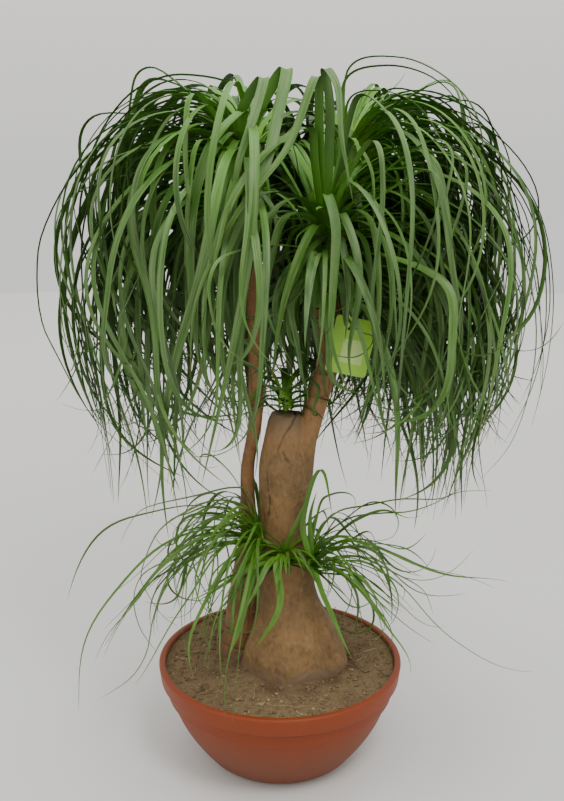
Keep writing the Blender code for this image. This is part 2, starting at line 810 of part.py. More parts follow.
def parted(head, point):
    """A point of a leaf moved clear of the stems, the tag and the heads beside its own."""
    x, y, z = point
    for post in head.posts:
        over = smoothstep((z - post.bottom + POST_FADE) / POST_FADE)
        under = smoothstep((post.top + POST_FADE - z) / POST_FADE)
        radius = post.radius * over * under
        away_x = x - post.at[0]
        away_y = y - post.at[1]
        distance = math.hypot(away_x, away_y)
        if radius > 0.0 and distance > 1e-6:
            moved = (distance**4 + radius**4) ** 0.25
            x = post.at[0] + away_x * moved / distance
            y = post.at[1] + away_y * moved / distance
    for plane in head.planes:
        normal_x = math.cos(math.radians(plane.facing))
        normal_y = math.sin(math.radians(plane.facing))
        ahead = (x - plane.point[0]) * normal_x + (y - plane.point[1]) * normal_y
        moved = (ahead + math.sqrt(ahead**2 + 4.0 * plane.softness**2)) / 2.0 + plane.margin
        x += (moved - ahead) * normal_x
        y += (moved - ahead) * normal_y
    return Vector((x, y, z))


def leaf_path(head, leaf):
    """Points along the leaf to where its tip ends, and the share of it at which its bend ends."""
    rise = math.radians(leaf.elevation)
    fall = math.radians(leaf.end_elevation)
    straight = STRAIGHT_SHARE * leaf.length
    steps = [smoothstep((step + 0.5) / BEND_SAMPLES) for step in range(BEND_SAMPLES)]
    level_share = sum(max(0.0, math.cos(mixed(rise, fall, step))) for step in steps) / BEND_SAMPLES
    level_reach = leaf.reach - straight * math.cos(rise)
    bend_length = max(LEAST_BEND, level_reach / max(LEAST_LEVEL_SHARE, level_share))
    step = leaf.length / PATH_STEPS
    point = Vector(leaf.root)
    points = [point.copy()]
    for index in range(PATH_STEPS):
        along = (index + 0.5) * step
        elevation = mixed(rise, fall, smoothstep((along - straight) / bend_length))
        azimuth = math.radians(leaf.azimuth) + leaf.drift * (along / leaf.length) ** 2
        level = math.cos(elevation)
        point = point + step * Vector(
            (level * math.cos(azimuth), level * math.sin(azimuth), math.sin(elevation))
        )
        over_pot = math.hypot(point.x, point.y) < OVER_POT_RADIUS
        lowest = max(leaf.tip_above, LOWEST_OVER_POT if over_pot else LOWEST_LEAF)
        if point.z < lowest and elevation < 0.0:
            break
        points.append(point.copy())
    bend_end = min(1.0, (straight + bend_length) / (step * (len(points) - 1)))
    return [points[0], points[1], *(parted(head, one) for one in points[2:])], bend_end


def along_path(points, share):
    place = share * (len(points) - 1)
    index = min(int(place), len(points) - 2)
    return points[index].lerp(points[index + 1], place - index)


def blade_width(share):
    """Width along a leaf as a share of its widest: a broad base, then a long taper."""
    widening = mixed(BASE_WIDTH, 1.0, smoothstep(share / BASE_SHARE))
    return widening * (1.0 - smoothstep((share - TAPER_FROM) / TAPER_OVER)) + TIP_WIDTH


def blade_sections(head, leaf, start=0.0, grow=0.0):
    """Two edges and a keel at the leaf's start and at each station of its bend, then its tip."""
    points, bend_end = leaf_path(head, leaf)
    sections = []
    for share in (start, *(mixed(STRAIGHT_SHARE, bend_end, station) for station in BEND_STATIONS)):
        centre = along_path(points, share)
        ahead = along_path(points, min(1.0, share + TANGENT_SHARE))
        behind = along_path(points, max(0.0, share - TANGENT_SHARE))
        tangent = (ahead - behind).normalized()
        azimuth = math.radians(leaf.azimuth) + leaf.drift * share**2
        side = Vector((-math.sin(azimuth), math.cos(azimuth), 0.0))
        side = (side - tangent * side.dot(tangent)).normalized()
        side.rotate(Matrix.Rotation(math.radians(leaf.twist) * share, 3, tangent))
        up = tangent.cross(side)
        half = leaf.width * blade_width(share) / 2.0 + grow
        keel = max(KEEL_LEAST, leaf.width * KEEL_SHARE * blade_width(share)) + 2.0 * grow
        sections.append((centre + side * half + up * grow, centre - side * half + up * grow,
                         centre - up * keel))
    return sections, points[-1]


def blade_mesh(sections, tip):
    """Points and triangles of a blade. Both faces are split along like diagonals."""
    points = [point for section in sections for point in section]
    count = len(sections)
    triangles = [(0, 1, 2)]
    for row in range(count - 1):
        low = row * 3
        for side in range(3):
            after = (side + 1) % 3
            triangles.append((low + side, low + 3 + after, low + after))
            triangles.append((low + side, low + 3 + side, low + 3 + after))
    last = (count - 1) * 3
    points.append(tip)
    for side in range(3):
        triangles.append((last + side, len(points) - 1, last + (side + 1) % 3))
    return points, triangles


def facing_out(points, triangles):
    """The triangles turned round if they close a volume that is inside out."""
    volume = sum(points[a].dot(points[b].cross(points[c])) for a, b, c in triangles)
    return [triangle[::-1] for triangle in triangles] if volume < 0 else triangles


def core_profile(head):
    """A leaf-base bulb: flat underneath, widest low down, rounded over its top."""
    radius = head.core_radius
    rising = [(radius * wide, head.height * high) for high, wide in CORE_CURVE]
    return [(0.0, head.height), *rising[::-1], (head.foot_radius, 0.0), (0.0, 0.0)]


def solid_tree(obj):
    """A search tree of an object's faces, for finding what touches it."""
    bpy.context.view_layer.update()
    graph = bpy.context.evaluated_depsgraph_get()
    return BVHTree.FromObject(obj, graph)


def touches(tree, others):
    return any(tree.overlap(other) for other in others)


def kept_blades(head, taken):
    """The head's blades that touch nothing taken, nor each other outside the core."""
    leaves = [chosen_leaf(head, values) for values in head.chosen]
    order = list(range(head.drawn))
    random.Random(head.name).shuffle(order)
    leaves += [leaf_of(head, number) for number in order]
    blades = []
    own = []
    for leaf in leaves:
        if len(blades) == head.kept:
            break
        whole = BVHTree.FromPolygons(*blade_mesh(*blade_sections(head, leaf, 0.0, TOUCH_MARGIN)))
        free = blade_sections(head, leaf, OUTSIDE_CORE, TOUCH_MARGIN)
        outside = BVHTree.FromPolygons(*blade_mesh(*free))
        if touches(whole, taken) or touches(outside, own):
            continue
        own.append(outside)
        blades.append(blade_mesh(*blade_sections(head, leaf)))
    return blades


def make_head(head, parts, taken, finish_name, seat=None):
    """A core with its leaves joined on. A seat is cut from the core where the bark stands."""
    core = turned(head.name, core_profile(head), CORE_SIDES, parts)
    realise(core)
    core.data.transform(Matrix.Translation(head.foot))
    if seat:
        boolean(core, "DIFFERENCE", seat)
        realise(core)
    blades = kept_blades(head, taken)
    bundle = bpy.data.collections.new(head.name + "_blades")
    bpy.context.scene.collection.children.link(bundle)
    for number, (points, triangles) in enumerate(blades):
        mesh = mesh_of(f"{head.name}_blade_{number + 1}", points, facing_out(points, triangles))
        placed(mesh, mesh.name, bundle)
    boolean(core, "UNION", bundle, "MANIFOLD")
    realise(core)
    keep_main_skin(core)
    for blade in list(bundle.objects):
        bpy.data.objects.remove(blade, do_unlink=True)
    bpy.data.collections.remove(bundle)
    print(head.name, len(blades), "leaves", len(core.data.polygons), "faces")
    return dressed(shade(core, 50.0), finish_name)


def main():
    clear_scene()
    parts = new_collection(OBJECT_NAME)
    cutters = new_collection("cutters", hidden=True)
    pot = make_pot(parts, cutters)
    side_rings = stem_rings(SIDE_STEM, SIDE_SIDES, SIDE_RINGS, SIDE_LOBES, LOBES_FADE, STEM_ROOM)
    side_cutter = as_cutter(placed(loft("side_room", side_rings), "side_room", cutters))
    trunk_rings = stem_rings(TRUNK, TRUNK_SIDES, TRUNK_RINGS, TRUNK_LOBES, LOBES_FADE, STEM_ROOM)
    trunk_cutter = as_cutter(placed(loft("trunk_room", trunk_rings), "trunk_room", cutters))
    soil = make_soil(parts, (trunk_cutter, side_cutter))
    trunk = make_trunk(parts, side_cutter)
    side_stem = make_side_stem(parts)
    tag = make_tag(parts)
    taken = [solid_tree(obj) for obj in (pot, soil, trunk, side_stem, tag)]
    for head in HEADS + SHOOTS:
        is_shoot = head in SHOOTS
        young = is_shoot or head.name == "head_middle"
        seat = trunk_cutter if is_shoot else None
        made = make_head(head, parts, taken, "young_leaf" if young else "leaf", seat)
        taken.append(solid_tree(made))


main()
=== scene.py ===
"""The looks of a branched ponytail palm in a bowl pot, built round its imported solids.

Metres, +Z up, in the frame of the solids: the origin is the middle of the pot's foot, and the
front of the plant looks along -Y. Angles round the plant are in degrees: 0 is +X, 90 is the back.
"""

import enum
import json
import logging
import math
import random
from dataclasses import dataclass, field, replace

import bpy
import numpy as np
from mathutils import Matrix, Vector, noise

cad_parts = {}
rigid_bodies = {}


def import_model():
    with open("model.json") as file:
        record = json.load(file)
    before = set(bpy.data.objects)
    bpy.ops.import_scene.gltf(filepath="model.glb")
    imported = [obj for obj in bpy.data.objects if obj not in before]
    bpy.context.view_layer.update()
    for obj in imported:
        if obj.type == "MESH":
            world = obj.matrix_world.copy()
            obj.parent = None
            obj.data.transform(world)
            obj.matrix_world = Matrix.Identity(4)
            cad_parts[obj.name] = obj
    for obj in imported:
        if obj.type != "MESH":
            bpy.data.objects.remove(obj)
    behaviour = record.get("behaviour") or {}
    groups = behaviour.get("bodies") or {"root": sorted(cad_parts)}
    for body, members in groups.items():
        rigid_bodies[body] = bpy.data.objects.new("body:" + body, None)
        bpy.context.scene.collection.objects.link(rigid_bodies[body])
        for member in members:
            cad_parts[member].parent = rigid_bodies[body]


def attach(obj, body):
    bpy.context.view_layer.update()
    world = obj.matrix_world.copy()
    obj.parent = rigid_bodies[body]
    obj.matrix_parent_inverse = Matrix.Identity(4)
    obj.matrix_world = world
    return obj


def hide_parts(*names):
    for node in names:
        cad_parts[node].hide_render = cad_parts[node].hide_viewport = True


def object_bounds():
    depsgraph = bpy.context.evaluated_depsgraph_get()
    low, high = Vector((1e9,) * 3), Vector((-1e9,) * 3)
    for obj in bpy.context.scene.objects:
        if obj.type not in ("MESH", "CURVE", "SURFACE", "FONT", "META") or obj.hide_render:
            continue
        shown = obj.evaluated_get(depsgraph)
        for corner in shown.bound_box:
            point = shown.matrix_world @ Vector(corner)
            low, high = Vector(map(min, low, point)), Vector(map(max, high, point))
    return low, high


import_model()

CAD_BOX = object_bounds()
BODY = "root"
LOG = logging.getLogger("ponytail_palm")

Colour = tuple[float, float, float]
Point = tuple[float, float, float]
Pair = tuple[float, float]
Corner = tuple[float, float, float]
Station = tuple[float, float, float, float]
Row = tuple[float, ...]
Faces = list[tuple[int, ...]]
Shell = tuple[np.ndarray, Faces]

MILLIMETRES = 1000.0
EYE = (0.003, -1.295, 0.847)


class Slot(enum.Enum):
    """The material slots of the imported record."""

    TERRACOTTA = "terracotta"
    SOIL = "soil"
    BARK = "bark"
    REDDISH_BARK = "reddish_bark"
    LEAF = "leaf"
    YOUNG_LEAF = "young_leaf"
    TAG_PLASTIC = "tag_plastic"


def mixed(low: float, high: float, share: float) -> float:
    """The value that lies a share of the way from low to high."""
    return low + (high - low) * share


def metres(*rows: Row) -> tuple[Row, ...]:
    """Rows of millimetres, in metres."""
    return tuple(tuple(value / MILLIMETRES for value in row) for row in rows)


def smoothstep(share: float | np.ndarray) -> float | np.ndarray:
    """An eased share between 0 and 1, of a number or an array."""
    share = np.clip(share, 0.0, 1.0)
    return share * share * (3.0 - 2.0 * share)


def rgba(colour: Colour) -> tuple[float, float, float, float]:
    """A colour with full opacity, as a colour socket takes it."""
    return (*colour, 1.0)


class Signal:
    """A node's number output, so that shader maths reads as a Python expression."""

    def __init__(self, graph: "Graph", socket: bpy.types.NodeSocket) -> None:
        """Wrap a socket of the graph."""
        self.graph = graph
        self.socket = socket

    def __add__(self, other: "Signal | float") -> "Signal":
        """This plus another."""
        return self.graph.math("ADD", self, other)

    __radd__ = __add__

    def __sub__(self, other: "Signal | float") -> "Signal":
        """This less another."""
        return self.graph.math("SUBTRACT", self, other)

    def __rsub__(self, other: "Signal | float") -> "Signal":
        """Another less this."""
        return self.graph.math("SUBTRACT", other, self)

    def __mul__(self, other: "Signal | float") -> "Signal":
        """This times another."""
        return self.graph.math("MULTIPLY", self, other)

    __rmul__ = __mul__

    def __abs__(self) -> "Signal":
        """This without its sign."""
        return self.graph.math("ABSOLUTE", self)

    def over(self, low: float, high: float) -> "Signal":
        """An eased share: 0 where this is at low, 1 where it is at high.

        Args:
            low: The value that becomes 0. It may be above high, which turns the share round.
            high: The value that becomes 1.

        Returns:
            The share, held between 0 and 1.
        """
        settings = {"interpolation_type": "SMOOTHSTEP"}
        values = {"Value": self, "From Min": low, "From Max": high}
        return self.graph.out("ShaderNodeMapRange", 0, settings, values)


class Graph:
    """One material: its nodes, and the Principled shader that they feed."""

    def __init__(self, name: str) -> None:
        """Start a material with only its Principled shader."""
        self.material = bpy.data.materials.new(name)
        self.material.use_nodes = True
        self.tree = self.material.node_tree
        self.shader = self.tree.nodes["Principled BSDF"]

    def connect(self, value: object, socket: bpy.types.NodeSocket) -> None:
        """Link a signal to a socket, or set the socket's own value."""
        if isinstance(value, Signal):
            self.tree.links.new(value.socket, socket)
        else:
            socket.default_value = value

    def node(self, kind: str, settings: dict | None = None, values: dict | None = None) -> bpy.types.Node:
        """Add a node.

        Args:
            kind: The node's type.
            settings: Its own settings, set first. A ramp's are under "stops", as (place, colour) pairs.
            values: The values or signals of its sockets, by name or number.

        Returns:
            The node.
        """
        made = self.tree.nodes.new(kind)
        for name, value in (settings or {}).items():
            if name == "stops":
                ramp = made.color_ramp.elements
                while len(ramp) < len(value):
                    ramp.new(1.0)
                for element, (place, colour) in zip(ramp, value):
                    element.position = place
                    element.color = rgba(colour)
            else:
                setattr(made, name, value)
        for name, value in (values or {}).items():
            self.connect(value, made.inputs[name])
        return made

    def out(
        self, kind: str, output: int | str, settings: dict | None = None, values: dict | None = None,
    ) -> Signal:
        """Add a node and give one of its outputs as a signal."""
        return Signal(self, self.node(kind, settings, values).outputs[output])

    def math(self, operation: str, *values: Signal | float) -> Signal:
        """Add a Math node."""
        return self.out("ShaderNodeMath", 0, {"operation": operation}, dict(enumerate(values)))

    def mask(self, name: str) -> Signal:
        """A number that the mesh carries, by the name of its attribute."""
        return self.out("ShaderNodeAttribute", "Fac", {"attribute_name": name})

    def place(self, stretch: Point = (1.0, 1.0, 1.0)) -> Signal:
        """The point on the surface, with each axis stretched."""
        spot = self.out("ShaderNodeTexCoord", "Object")
        return self.out("ShaderNodeVectorMath", 0, {"operation": "MULTIPLY"}, {0: spot, 1: stretch})

    def height(self) -> Signal:
        """The height of the point on the surface."""
        spot = self.out("ShaderNodeTexCoord", "Object")
        return self.out("ShaderNodeSeparateXYZ", "Z", None, {0: spot})

    def noise(
        self, scale: float, detail: float = 3.0, at: Signal | None = None, warp: float = 0.0,
    ) -> Signal:
        """Soft noise between 0 and 1.

        Args:
            scale: Waves per metre of the place given.
            detail: How many finer layers it has.
            at: The place it is read at, which is the point on the surface if none is given.
            warp: How far it is pulled out of shape.

        Returns:
            The noise.
        """
        values = {"Vector": at or self.place(), "Scale": scale, "Detail": detail, "Distortion": warp}
        return self.out("ShaderNodeTexNoise", 0, None, values)

    def blend(self, share: Signal | float, low: Signal | Colour, high: Signal | Colour) -> Signal:
        """A colour a share of the way from low to high."""
        values = {0: share, 6: self.paint(low), 7: self.paint(high)}
        return self.out("ShaderNodeMix", 2, {"data_type": "RGBA", "clamp_factor": True}, values)

    @staticmethod
    def paint(colour: Signal | Colour) -> Signal | tuple[float, float, float, float]:
        """A colour as a socket takes it."""
        return colour if isinstance(colour, Signal) else rgba(colour)

    def finish(
        self, colour: Signal | Colour, roughness: Signal | float, relief: Signal | None = None,
        depth: float = 0.001, specular: float = 0.5,
    ) -> bpy.types.Material:
        """Feed the shader.

        Args:
            colour: The base colour.
            roughness: The roughness.
            relief: Fine height that the light shows, if any.
            depth: How deep a relief of 1 is, in metres.
            specular: How strongly it mirrors, where 0.5 is usual.

        Returns:
            The material.
        """
        self.connect(self.paint(colour), self.shader.inputs["Base Color"])
        self.connect(roughness, self.shader.inputs["Roughness"])
        if relief:
            values = {"Strength": 1.0, "Distance": depth, "Height": relief}
            self.connect(self.out("ShaderNodeBump", 0, None, values), self.shader.inputs["Normal"])
        self.connect(specular, self.shader.inputs["Specular IOR Level"])
        return self.material


@dataclass(frozen=True)
class TerracottaPlastic:
    """Satin moulded plastic in a terracotta colour, duller and dustier low down."""

    body: Colour = (0.205, 0.036, 0.007)
    worn: Colour = (0.230, 0.050, 0.013)
    low: Colour = (0.170, 0.054, 0.026)
    dust: Colour = (0.180, 0.112, 0.060)

    def material(self) -> bpy.types.Material:
        """Build the material."""
        graph = Graph("terracotta_plastic")
        height = graph.height()
        cloud = graph.noise(9.0, 4.0)
        streak = graph.noise(26.0, 5.0, graph.place((1.0, 1.0, 0.14)))
        colour = graph.blend(height.over(0.112, 0.05) * 0.9, self.body, self.low)
        colour = graph.blend((cloud * streak).over(0.27, 0.46) * 0.55, colour, self.worn)
        scuff = graph.noise(150.0, 3.0, graph.place((1.0, 1.0, 0.35))).over(0.66, 0.76)
        colour = graph.blend(scuff * 0.28, colour, self.worn)
        splash = graph.noise(60.0, 6.0).over(0.56, 0.70) * height.over(0.05, 0.0)
        colour = graph.blend(splash * 0.3 + graph.mask("soiled") * 0.6, colour, self.dust)
        roughness = 0.42 + cloud * 0.16 + scuff * 0.12 + height.over(0.12, 0.05) * 0.12
        grain = graph.noise(900.0, 2.0) * 0.5 + graph.noise(45.0, 2.0)
        return graph.finish(colour, roughness, grain, 0.00022, specular=0.28)


@dataclass(frozen=True)
class PottingMix:
    """Dry grey-brown potting soil with damp patches, and darker beside the stems with painted shade round
    their feet.
    """

    dry: Colour = (0.172, 0.118, 0.058)
    dark: Colour = (0.096, 0.061, 0.030)
    pale: Colour = (0.320, 0.230, 0.130)
    # Dark soil colour: real damp patches, and the painted shade round the stems' feet
    damp: Colour = (0.090, 0.052, 0.026)

    def material(self) -> bpy.types.Material:
        """Build the material."""
        graph = Graph("potting_mix")
        grains = graph.noise(420.0, 4.0)
        clods = graph.noise(95.0, 5.0)
        fields = graph.noise(16.0, 3.0)
        colour = graph.blend(clods.over(0.22, 0.50), self.dark, self.dry)
        colour = graph.blend(grains.over(0.54, 0.70) * 0.50, colour, self.pale)
        colour = graph.blend(grains.over(0.44, 0.32) * 0.50, colour, self.dark)
        colour = graph.blend(fields.over(0.50, 0.66) * 0.35, colour, self.damp)
        # Painted shade: the soil round the stems' feet is darkened, in patches
        colour = graph.blend(graph.mask("damp") * 0.85, colour, self.damp)
        relief = grains * 0.6 + clods
        return graph.finish(colour, 0.93 - grains * 0.12, relief, 0.0018, specular=0.25)


@dataclass(frozen=True)
class Crumbs:
    """Loose bits on the soil, each with a tone of its own."""

    dark: Colour = (0.095, 0.060, 0.030)
    middle: Colour = (0.180, 0.122, 0.062)
    pale: Colour = (0.340, 0.250, 0.145)

    def material(self) -> bpy.types.Material:
        """Build the material."""
        graph = Graph("soil_crumbs")
        tone = graph.mask("tone")
        stops = ((0.0, self.dark), (0.12, self.middle), (0.80, self.middle), (1.0, self.pale))
        colour = graph.out("ShaderNodeValToRGB", 0, {"stops": stops}, {0: tone})
        grain = graph.noise(700.0, 3.0)
        colour = graph.blend(grain.over(0.60, 0.40) * 0.3, colour, self.dark)
        return graph.finish(colour, 0.90, grain, 0.0006, specular=0.25)


@dataclass(frozen=True)
class RootFibre:
    """Dry rootlets and twigs, from straw to brown."""

    straw: Colour = (0.50, 0.37, 0.22)
    brown: Colour = (0.16, 0.095, 0.050)

    def material(self) -> bpy.types.Material:
        """Build the material."""
        graph = Graph("root_fibre")
        fibre = graph.noise(500.0, 2.0)
        colour = graph.blend(graph.mask("tone") + fibre * 0.3 - 0.15, self.brown, self.straw)
        return graph.finish(colour, 0.80, fibre, 0.0003)


@dataclass(frozen=True)
class Bark:
    """Corky bark: mottled, cracked, dull. Its cracks, dead wood and soiled foot come from the mesh."""

    name: str
    body: Colour
    warm: Colour
    pale: Colour
    branch: Colour = (0.330, 0.165, 0.070)
    crack: Colour = (0.050, 0.024, 0.012)
    dead: Colour = (0.155, 0.112, 0.066)
    soil: Colour = (0.150, 0.100, 0.062)

    def material(self) -> bpy.types.Material:
        """Build the material."""
        graph = Graph(self.name)
        fields = graph.noise(17.0, 4.0, None, 0.6)
        flakes = graph.noise(150.0, 5.0, graph.place((1.0, 1.0, 0.65)), 0.6)
        threads = graph.noise(260.0, 3.0, graph.place((1.0, 1.0, 0.18)))
        specks = graph.noise(520.0, 2.0)
        colour = graph.blend(fields.over(0.36, 0.62), self.body, self.warm)
        colour = graph.blend(graph.height().over(0.45, 0.53) * 0.6, colour, self.branch)
        colour = graph.blend(flakes.over(0.50, 0.72) * 0.32, colour, self.pale)
        colour = graph.blend(flakes.over(0.46, 0.34) * 0.26, colour, self.crack)
        colour = graph.blend(threads.over(0.58, 0.70) * 0.25, colour, self.pale)
        colour = graph.blend(specks.over(0.68, 0.74) * 0.5, colour, self.crack)
        colour = graph.blend(graph.mask("dead") * (0.55 + fields * 0.6), colour, self.dead)
        colour = graph.blend(graph.mask("soiled") * (0.35 + flakes * 0.9), colour, self.soil)
        colour = graph.blend(graph.mask("crack") * 0.85, colour, self.crack)
        relief = flakes * 0.8 + threads * 0.4 + specks * 0.25
        return graph.finish(colour, 0.80 - flakes * 0.16, relief, 0.0013, specular=0.3)


@dataclass(frozen=True)
class LeafSkin:
    """A strap leaf: satin, finely ribbed, pale at its base and dry at its tip, with painted sheen in pale
    streaks along its ribs.
    """

    name: str
    deep: Colour
    fresh: Colour
    # Painted sheen: a pale grey-green that stands in for the glossy reflection on the leaves
    painted_sheen: Colour
    under: Colour
    heart: Colour = (0.110, 0.360, 0.008)
    base: Colour = (0.260, 0.400, 0.040)
    dry: Colour = (0.190, 0.120, 0.045)
    gloss: float = 0.40

    def material(self) -> bpy.types.Material:
        """Build the material."""
        graph = Graph(self.name)
        tone = graph.mask("tone")
        along = graph.mask("along")
        across = graph.mask("across")
        strip = graph.out(
            "ShaderNodeCombineXYZ", 0, None, {0: across, 1: along * 9.0 + tone * 60.0, 2: tone * 40.0}
        )
        ribs = graph.noise(1.0, 2.0, graph.out(
            "ShaderNodeVectorMath", 0, {"operation": "MULTIPLY"}, {0: strip, 1: (7.0, 0.12, 1.0)}
        ))
        cloud = graph.noise(1.0, 3.0, strip)
        colour = graph.blend(tone.over(0.0, 1.0), self.deep, self.fresh)
        colour = graph.blend(graph.mask("fresh") * 0.8, colour, self.heart)
        # Painted sheen: pale streaks along the ribs, in place of the leaves' glossy reflection
        colour = graph.blend((cloud * 0.7 + ribs * 0.6).over(0.50, 0.80) * 0.75, colour, self.painted_sheen)
        colour = graph.blend(abs(across).over(0.30, 0.0) * 0.30, colour, self.deep)
        colour = graph.blend(graph.mask("under") * (0.75 - graph.mask("fresh") * 0.6), colour, self.under)
        colour = graph.blend(along.over(0.40, 0.08) * 0.45, colour, self.heart)
        colour = graph.blend(along.over(0.09, 0.0) * 0.8, colour, self.base)
        tip = (along + tone * 0.07 + cloud * 0.05).over(1.0, 1.06)
        colour = graph.blend(tip * 0.85, colour, self.dry)
        roughness = self.gloss + cloud * 0.14 + tip * 0.25 + graph.mask("under") * 0.10
        return graph.finish(colour, roughness, ribs, 0.00035, specular=0.38)


@dataclass(frozen=True)
class TagPlastic:
    """Soft lime-green plastic film, a little scuffed, with a plain paler panel."""

    body: Colour = (0.300, 0.600, 0.035)
    panel: Colour = (0.520, 0.730, 0.230)

    def material(self) -> bpy.types.Material:
        """Build the material."""
        graph = Graph("tag_plastic")
        cloud = graph.noise(60.0, 3.0)
        scuff = graph.noise(400.0, 2.0, graph.place((1.0, 1.0, 0.3))).over(0.64, 0.74)
        colour = graph.blend(graph.mask("panel"), self.body, self.panel)
        colour = graph.blend(scuff * 0.25 + cloud * 0.12, colour, self.panel)
        return graph.finish(colour, 0.30 + cloud * 0.15 + scuff * 0.2, cloud, 0.0003)


@dataclass(frozen=True)
class PaleFloor:
    """A plain, pale, nearly matt floor, a little paler far out."""

    near: Colour = (0.66, 0.66, 0.65)
    far: Colour = (0.86, 0.86, 0.85)

    def material(self) -> bpy.types.Material:
        """Build the material."""
        graph = Graph("pale_floor")
        out = graph.out("ShaderNodeVectorMath", "Value", {"operation": "LENGTH"}, {0: graph.place()})
        return graph.finish(graph.blend(out.over(0.8, 3.5), self.near, self.far), 0.80)


@dataclass
class Skin:
    """The points and faces of a mesh in the making, with the numbers that its finish reads."""

    points: list[np.ndarray] = field(default_factory=list)
    faces: Faces = field(default_factory=list)
    masks: dict[str, list[np.ndarray]] = field(default_factory=dict)
    face_masks: dict[str, list[float]] = field(default_factory=dict)
    corners: list[Pair] = field(default_factory=list)
    count: int = 0

    def add(self, points: np.ndarray, faces: Faces, **masks: np.ndarray | float) -> None:
        """Add a shell.

        Args:
            points: Its points, one a row.
            faces: Its faces, as numbers of its own points.
            **masks: One number for each point, or one for them all, by the name of the mask.
        """
        first = self.count
        self.points.append(np.asarray(points, float))
        self.faces += [tuple(first + corner for corner in face) for face in faces]
        for name, value in masks.items():
            self.masks.setdefault(name, []).append(np.broadcast_to(value, len(points)))
        self.count += len(points)

    def made(self, name: str, sharp_angle: float = 35.0) -> bpy.types.Object:
        """Make the object.

        Args:
            name: The piece's name.
            sharp_angle: Edges that bend more than this many degrees are drawn sharp.

        Returns:
            The object, in the scene.
        """
        mesh = bpy.data.meshes.new(name)
        mesh.from_pydata(np.concatenate(self.points).tolist(), [], self.faces)
        for mask, parts in self.masks.items():
            values = np.concatenate(parts).astype(np.float32)
            mesh.attributes.new(mask, "FLOAT", "POINT").data.foreach_set("value", values)
        for mask, values in self.face_masks.items():
            mesh.attributes.new(mask, "FLOAT", "FACE").data.foreach_set("value", values)
        if self.corners:
            atlas = mesh.uv_layers.new(name="OFBake")
            atlas.data.foreach_set("uv", np.array(self.corners, np.float32).ravel())
        mesh.shade_smooth()
        mesh.set_sharp_from_angle(angle=math.radians(sharp_angle))
        made = bpy.data.objects.new(name, mesh)
        bpy.context.scene.collection.objects.link(made)
        return made


def dress(
    piece: bpy.types.Object, material: bpy.types.Material, slot: Slot, *nodes: str,
) -> bpy.types.Object:
    """Give a piece its finish and its place in the model.

    Args:
        piece: The piece.
        material: Its finish.
        slot: The record's slot that the finish belongs to. It is not used.
        *nodes: The solids that the piece stands for.

    Returns:
        The piece.
    """
    piece.data.materials.clear()
    piece.data.materials.append(material)
    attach(piece, BODY)
    if nodes:
        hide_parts(*nodes)
    LOG.info("%s: %d faces, stands for %s", piece.name, len(piece.data.polygons), nodes or "nothing")
    return piece


def revolved(outline: list[Pair], steps: int) -> Shell:
    """Turn an outline round Z into a closed shell.

    Args:
        outline: (radius, height) points from the bottom's middle, up the outside, to the top's middle.
        steps: How many faces go round.

    Returns:
        The points and the faces.
    """
    angles = np.arange(steps) * 2.0 * math.pi / steps
    ring = np.stack([np.cos(angles), np.sin(angles)], 1)
    inner = outline[1:-1]
    points = [np.array([[0.0, 0.0, outline[0][1]]])]
    points += [np.column_stack([ring * radius, np.full(steps, height)]) for radius, height in inner]
    points.append(np.array([[0.0, 0.0, outline[-1][1]]]))
    last = 1 + len(inner) * steps
    faces = []
    for step in range(steps):
        after = (step + 1) % steps
        faces.append((0, 1 + after, 1 + step))
        faces.append((last, last - steps + step, last - steps + after))
        for row in range(len(inner) - 1):
            low = 1 + row * steps
            faces.append((low + step, low + after, low + steps + after, low + steps + step))
    return np.concatenate(points), faces


def disc(radius: float, bottom: float, top: float, steps: int) -> Shell:
    """A round plate or peg, closed."""
    return revolved([(0.0, bottom), (radius, bottom), (radius, top), (0.0, top)], steps)


def lofted(rings: np.ndarray, start: np.ndarray, end: np.ndarray) -> Shell:
    """Join rings of points into a closed shell.

    Args:
        rings: The rings, each a row of points.
        start: The middle of the first ring, as one row.
        end: The middle of the last ring, as one row.

    Returns:
        The points and the faces.
    """
    count, sides = rings.shape[:2]
    points = np.concatenate([rings.reshape(-1, 3), start, end])
    middle = count * sides
    faces = []
    for step in range(sides):
        after = (step + 1) % sides
        faces.append((after, step, middle))
        faces.append((middle - sides + step, middle - sides + after, middle + 1))
        for row in range(count - 1):
            low = row * sides
            faces.append((low + step, low + after, low + sides + after, low + sides + step))
    return points, faces


def rounded(corners: list[Corner], steps: int = 4) -> list[Pair]:
    """Round the corners of an outline.

    Args:
        corners: (radius, height, rounding) of each corner.
        steps: How many straight pieces each rounding has.

    Returns:
        The points of the rounded outline.
    """
    points = []
    for index, (radius, height, rounding) in enumerate(corners):
        here = np.array([radius, height])
        if rounding <= 0.0:
            points.append((radius, height))
            continue
        before = np.array(corners[index - 1][:2]) - here
        after = np.array(corners[index + 1][:2]) - here
        cut = min(rounding, np.linalg.norm(before) * 0.48, np.linalg.norm(after) * 0.48)
        start = here + before / np.linalg.norm(before) * cut
        end = here + after / np.linalg.norm(after) * cut
        for step in range(steps + 1):
            t = step / steps
            points.append(tuple((1 - t) ** 2 * start + 2 * t * (1 - t) * here + t**2 * end))
    return points


def spline(stations: tuple[Station, ...], count: int) -> np.ndarray:
    """Points at even steps of a smooth curve through the stations, as the solids follow it."""
    padded = np.array([stations[0], *stations, stations[-1]], float)
    place = np.linspace(0.0, len(stations) - 1, count + 1)
    span = np.minimum(place.astype(int), len(stations) - 2)
    t = (place - span)[:, None]
    a, b, c, d = (padded[span + step] for step in range(4))
    return 0.5 * (2 * b + (c - a) * t + (2 * a - 5 * b + 4 * c - d) * t**2 + (3 * b - a - 3 * c + d) * t**3)


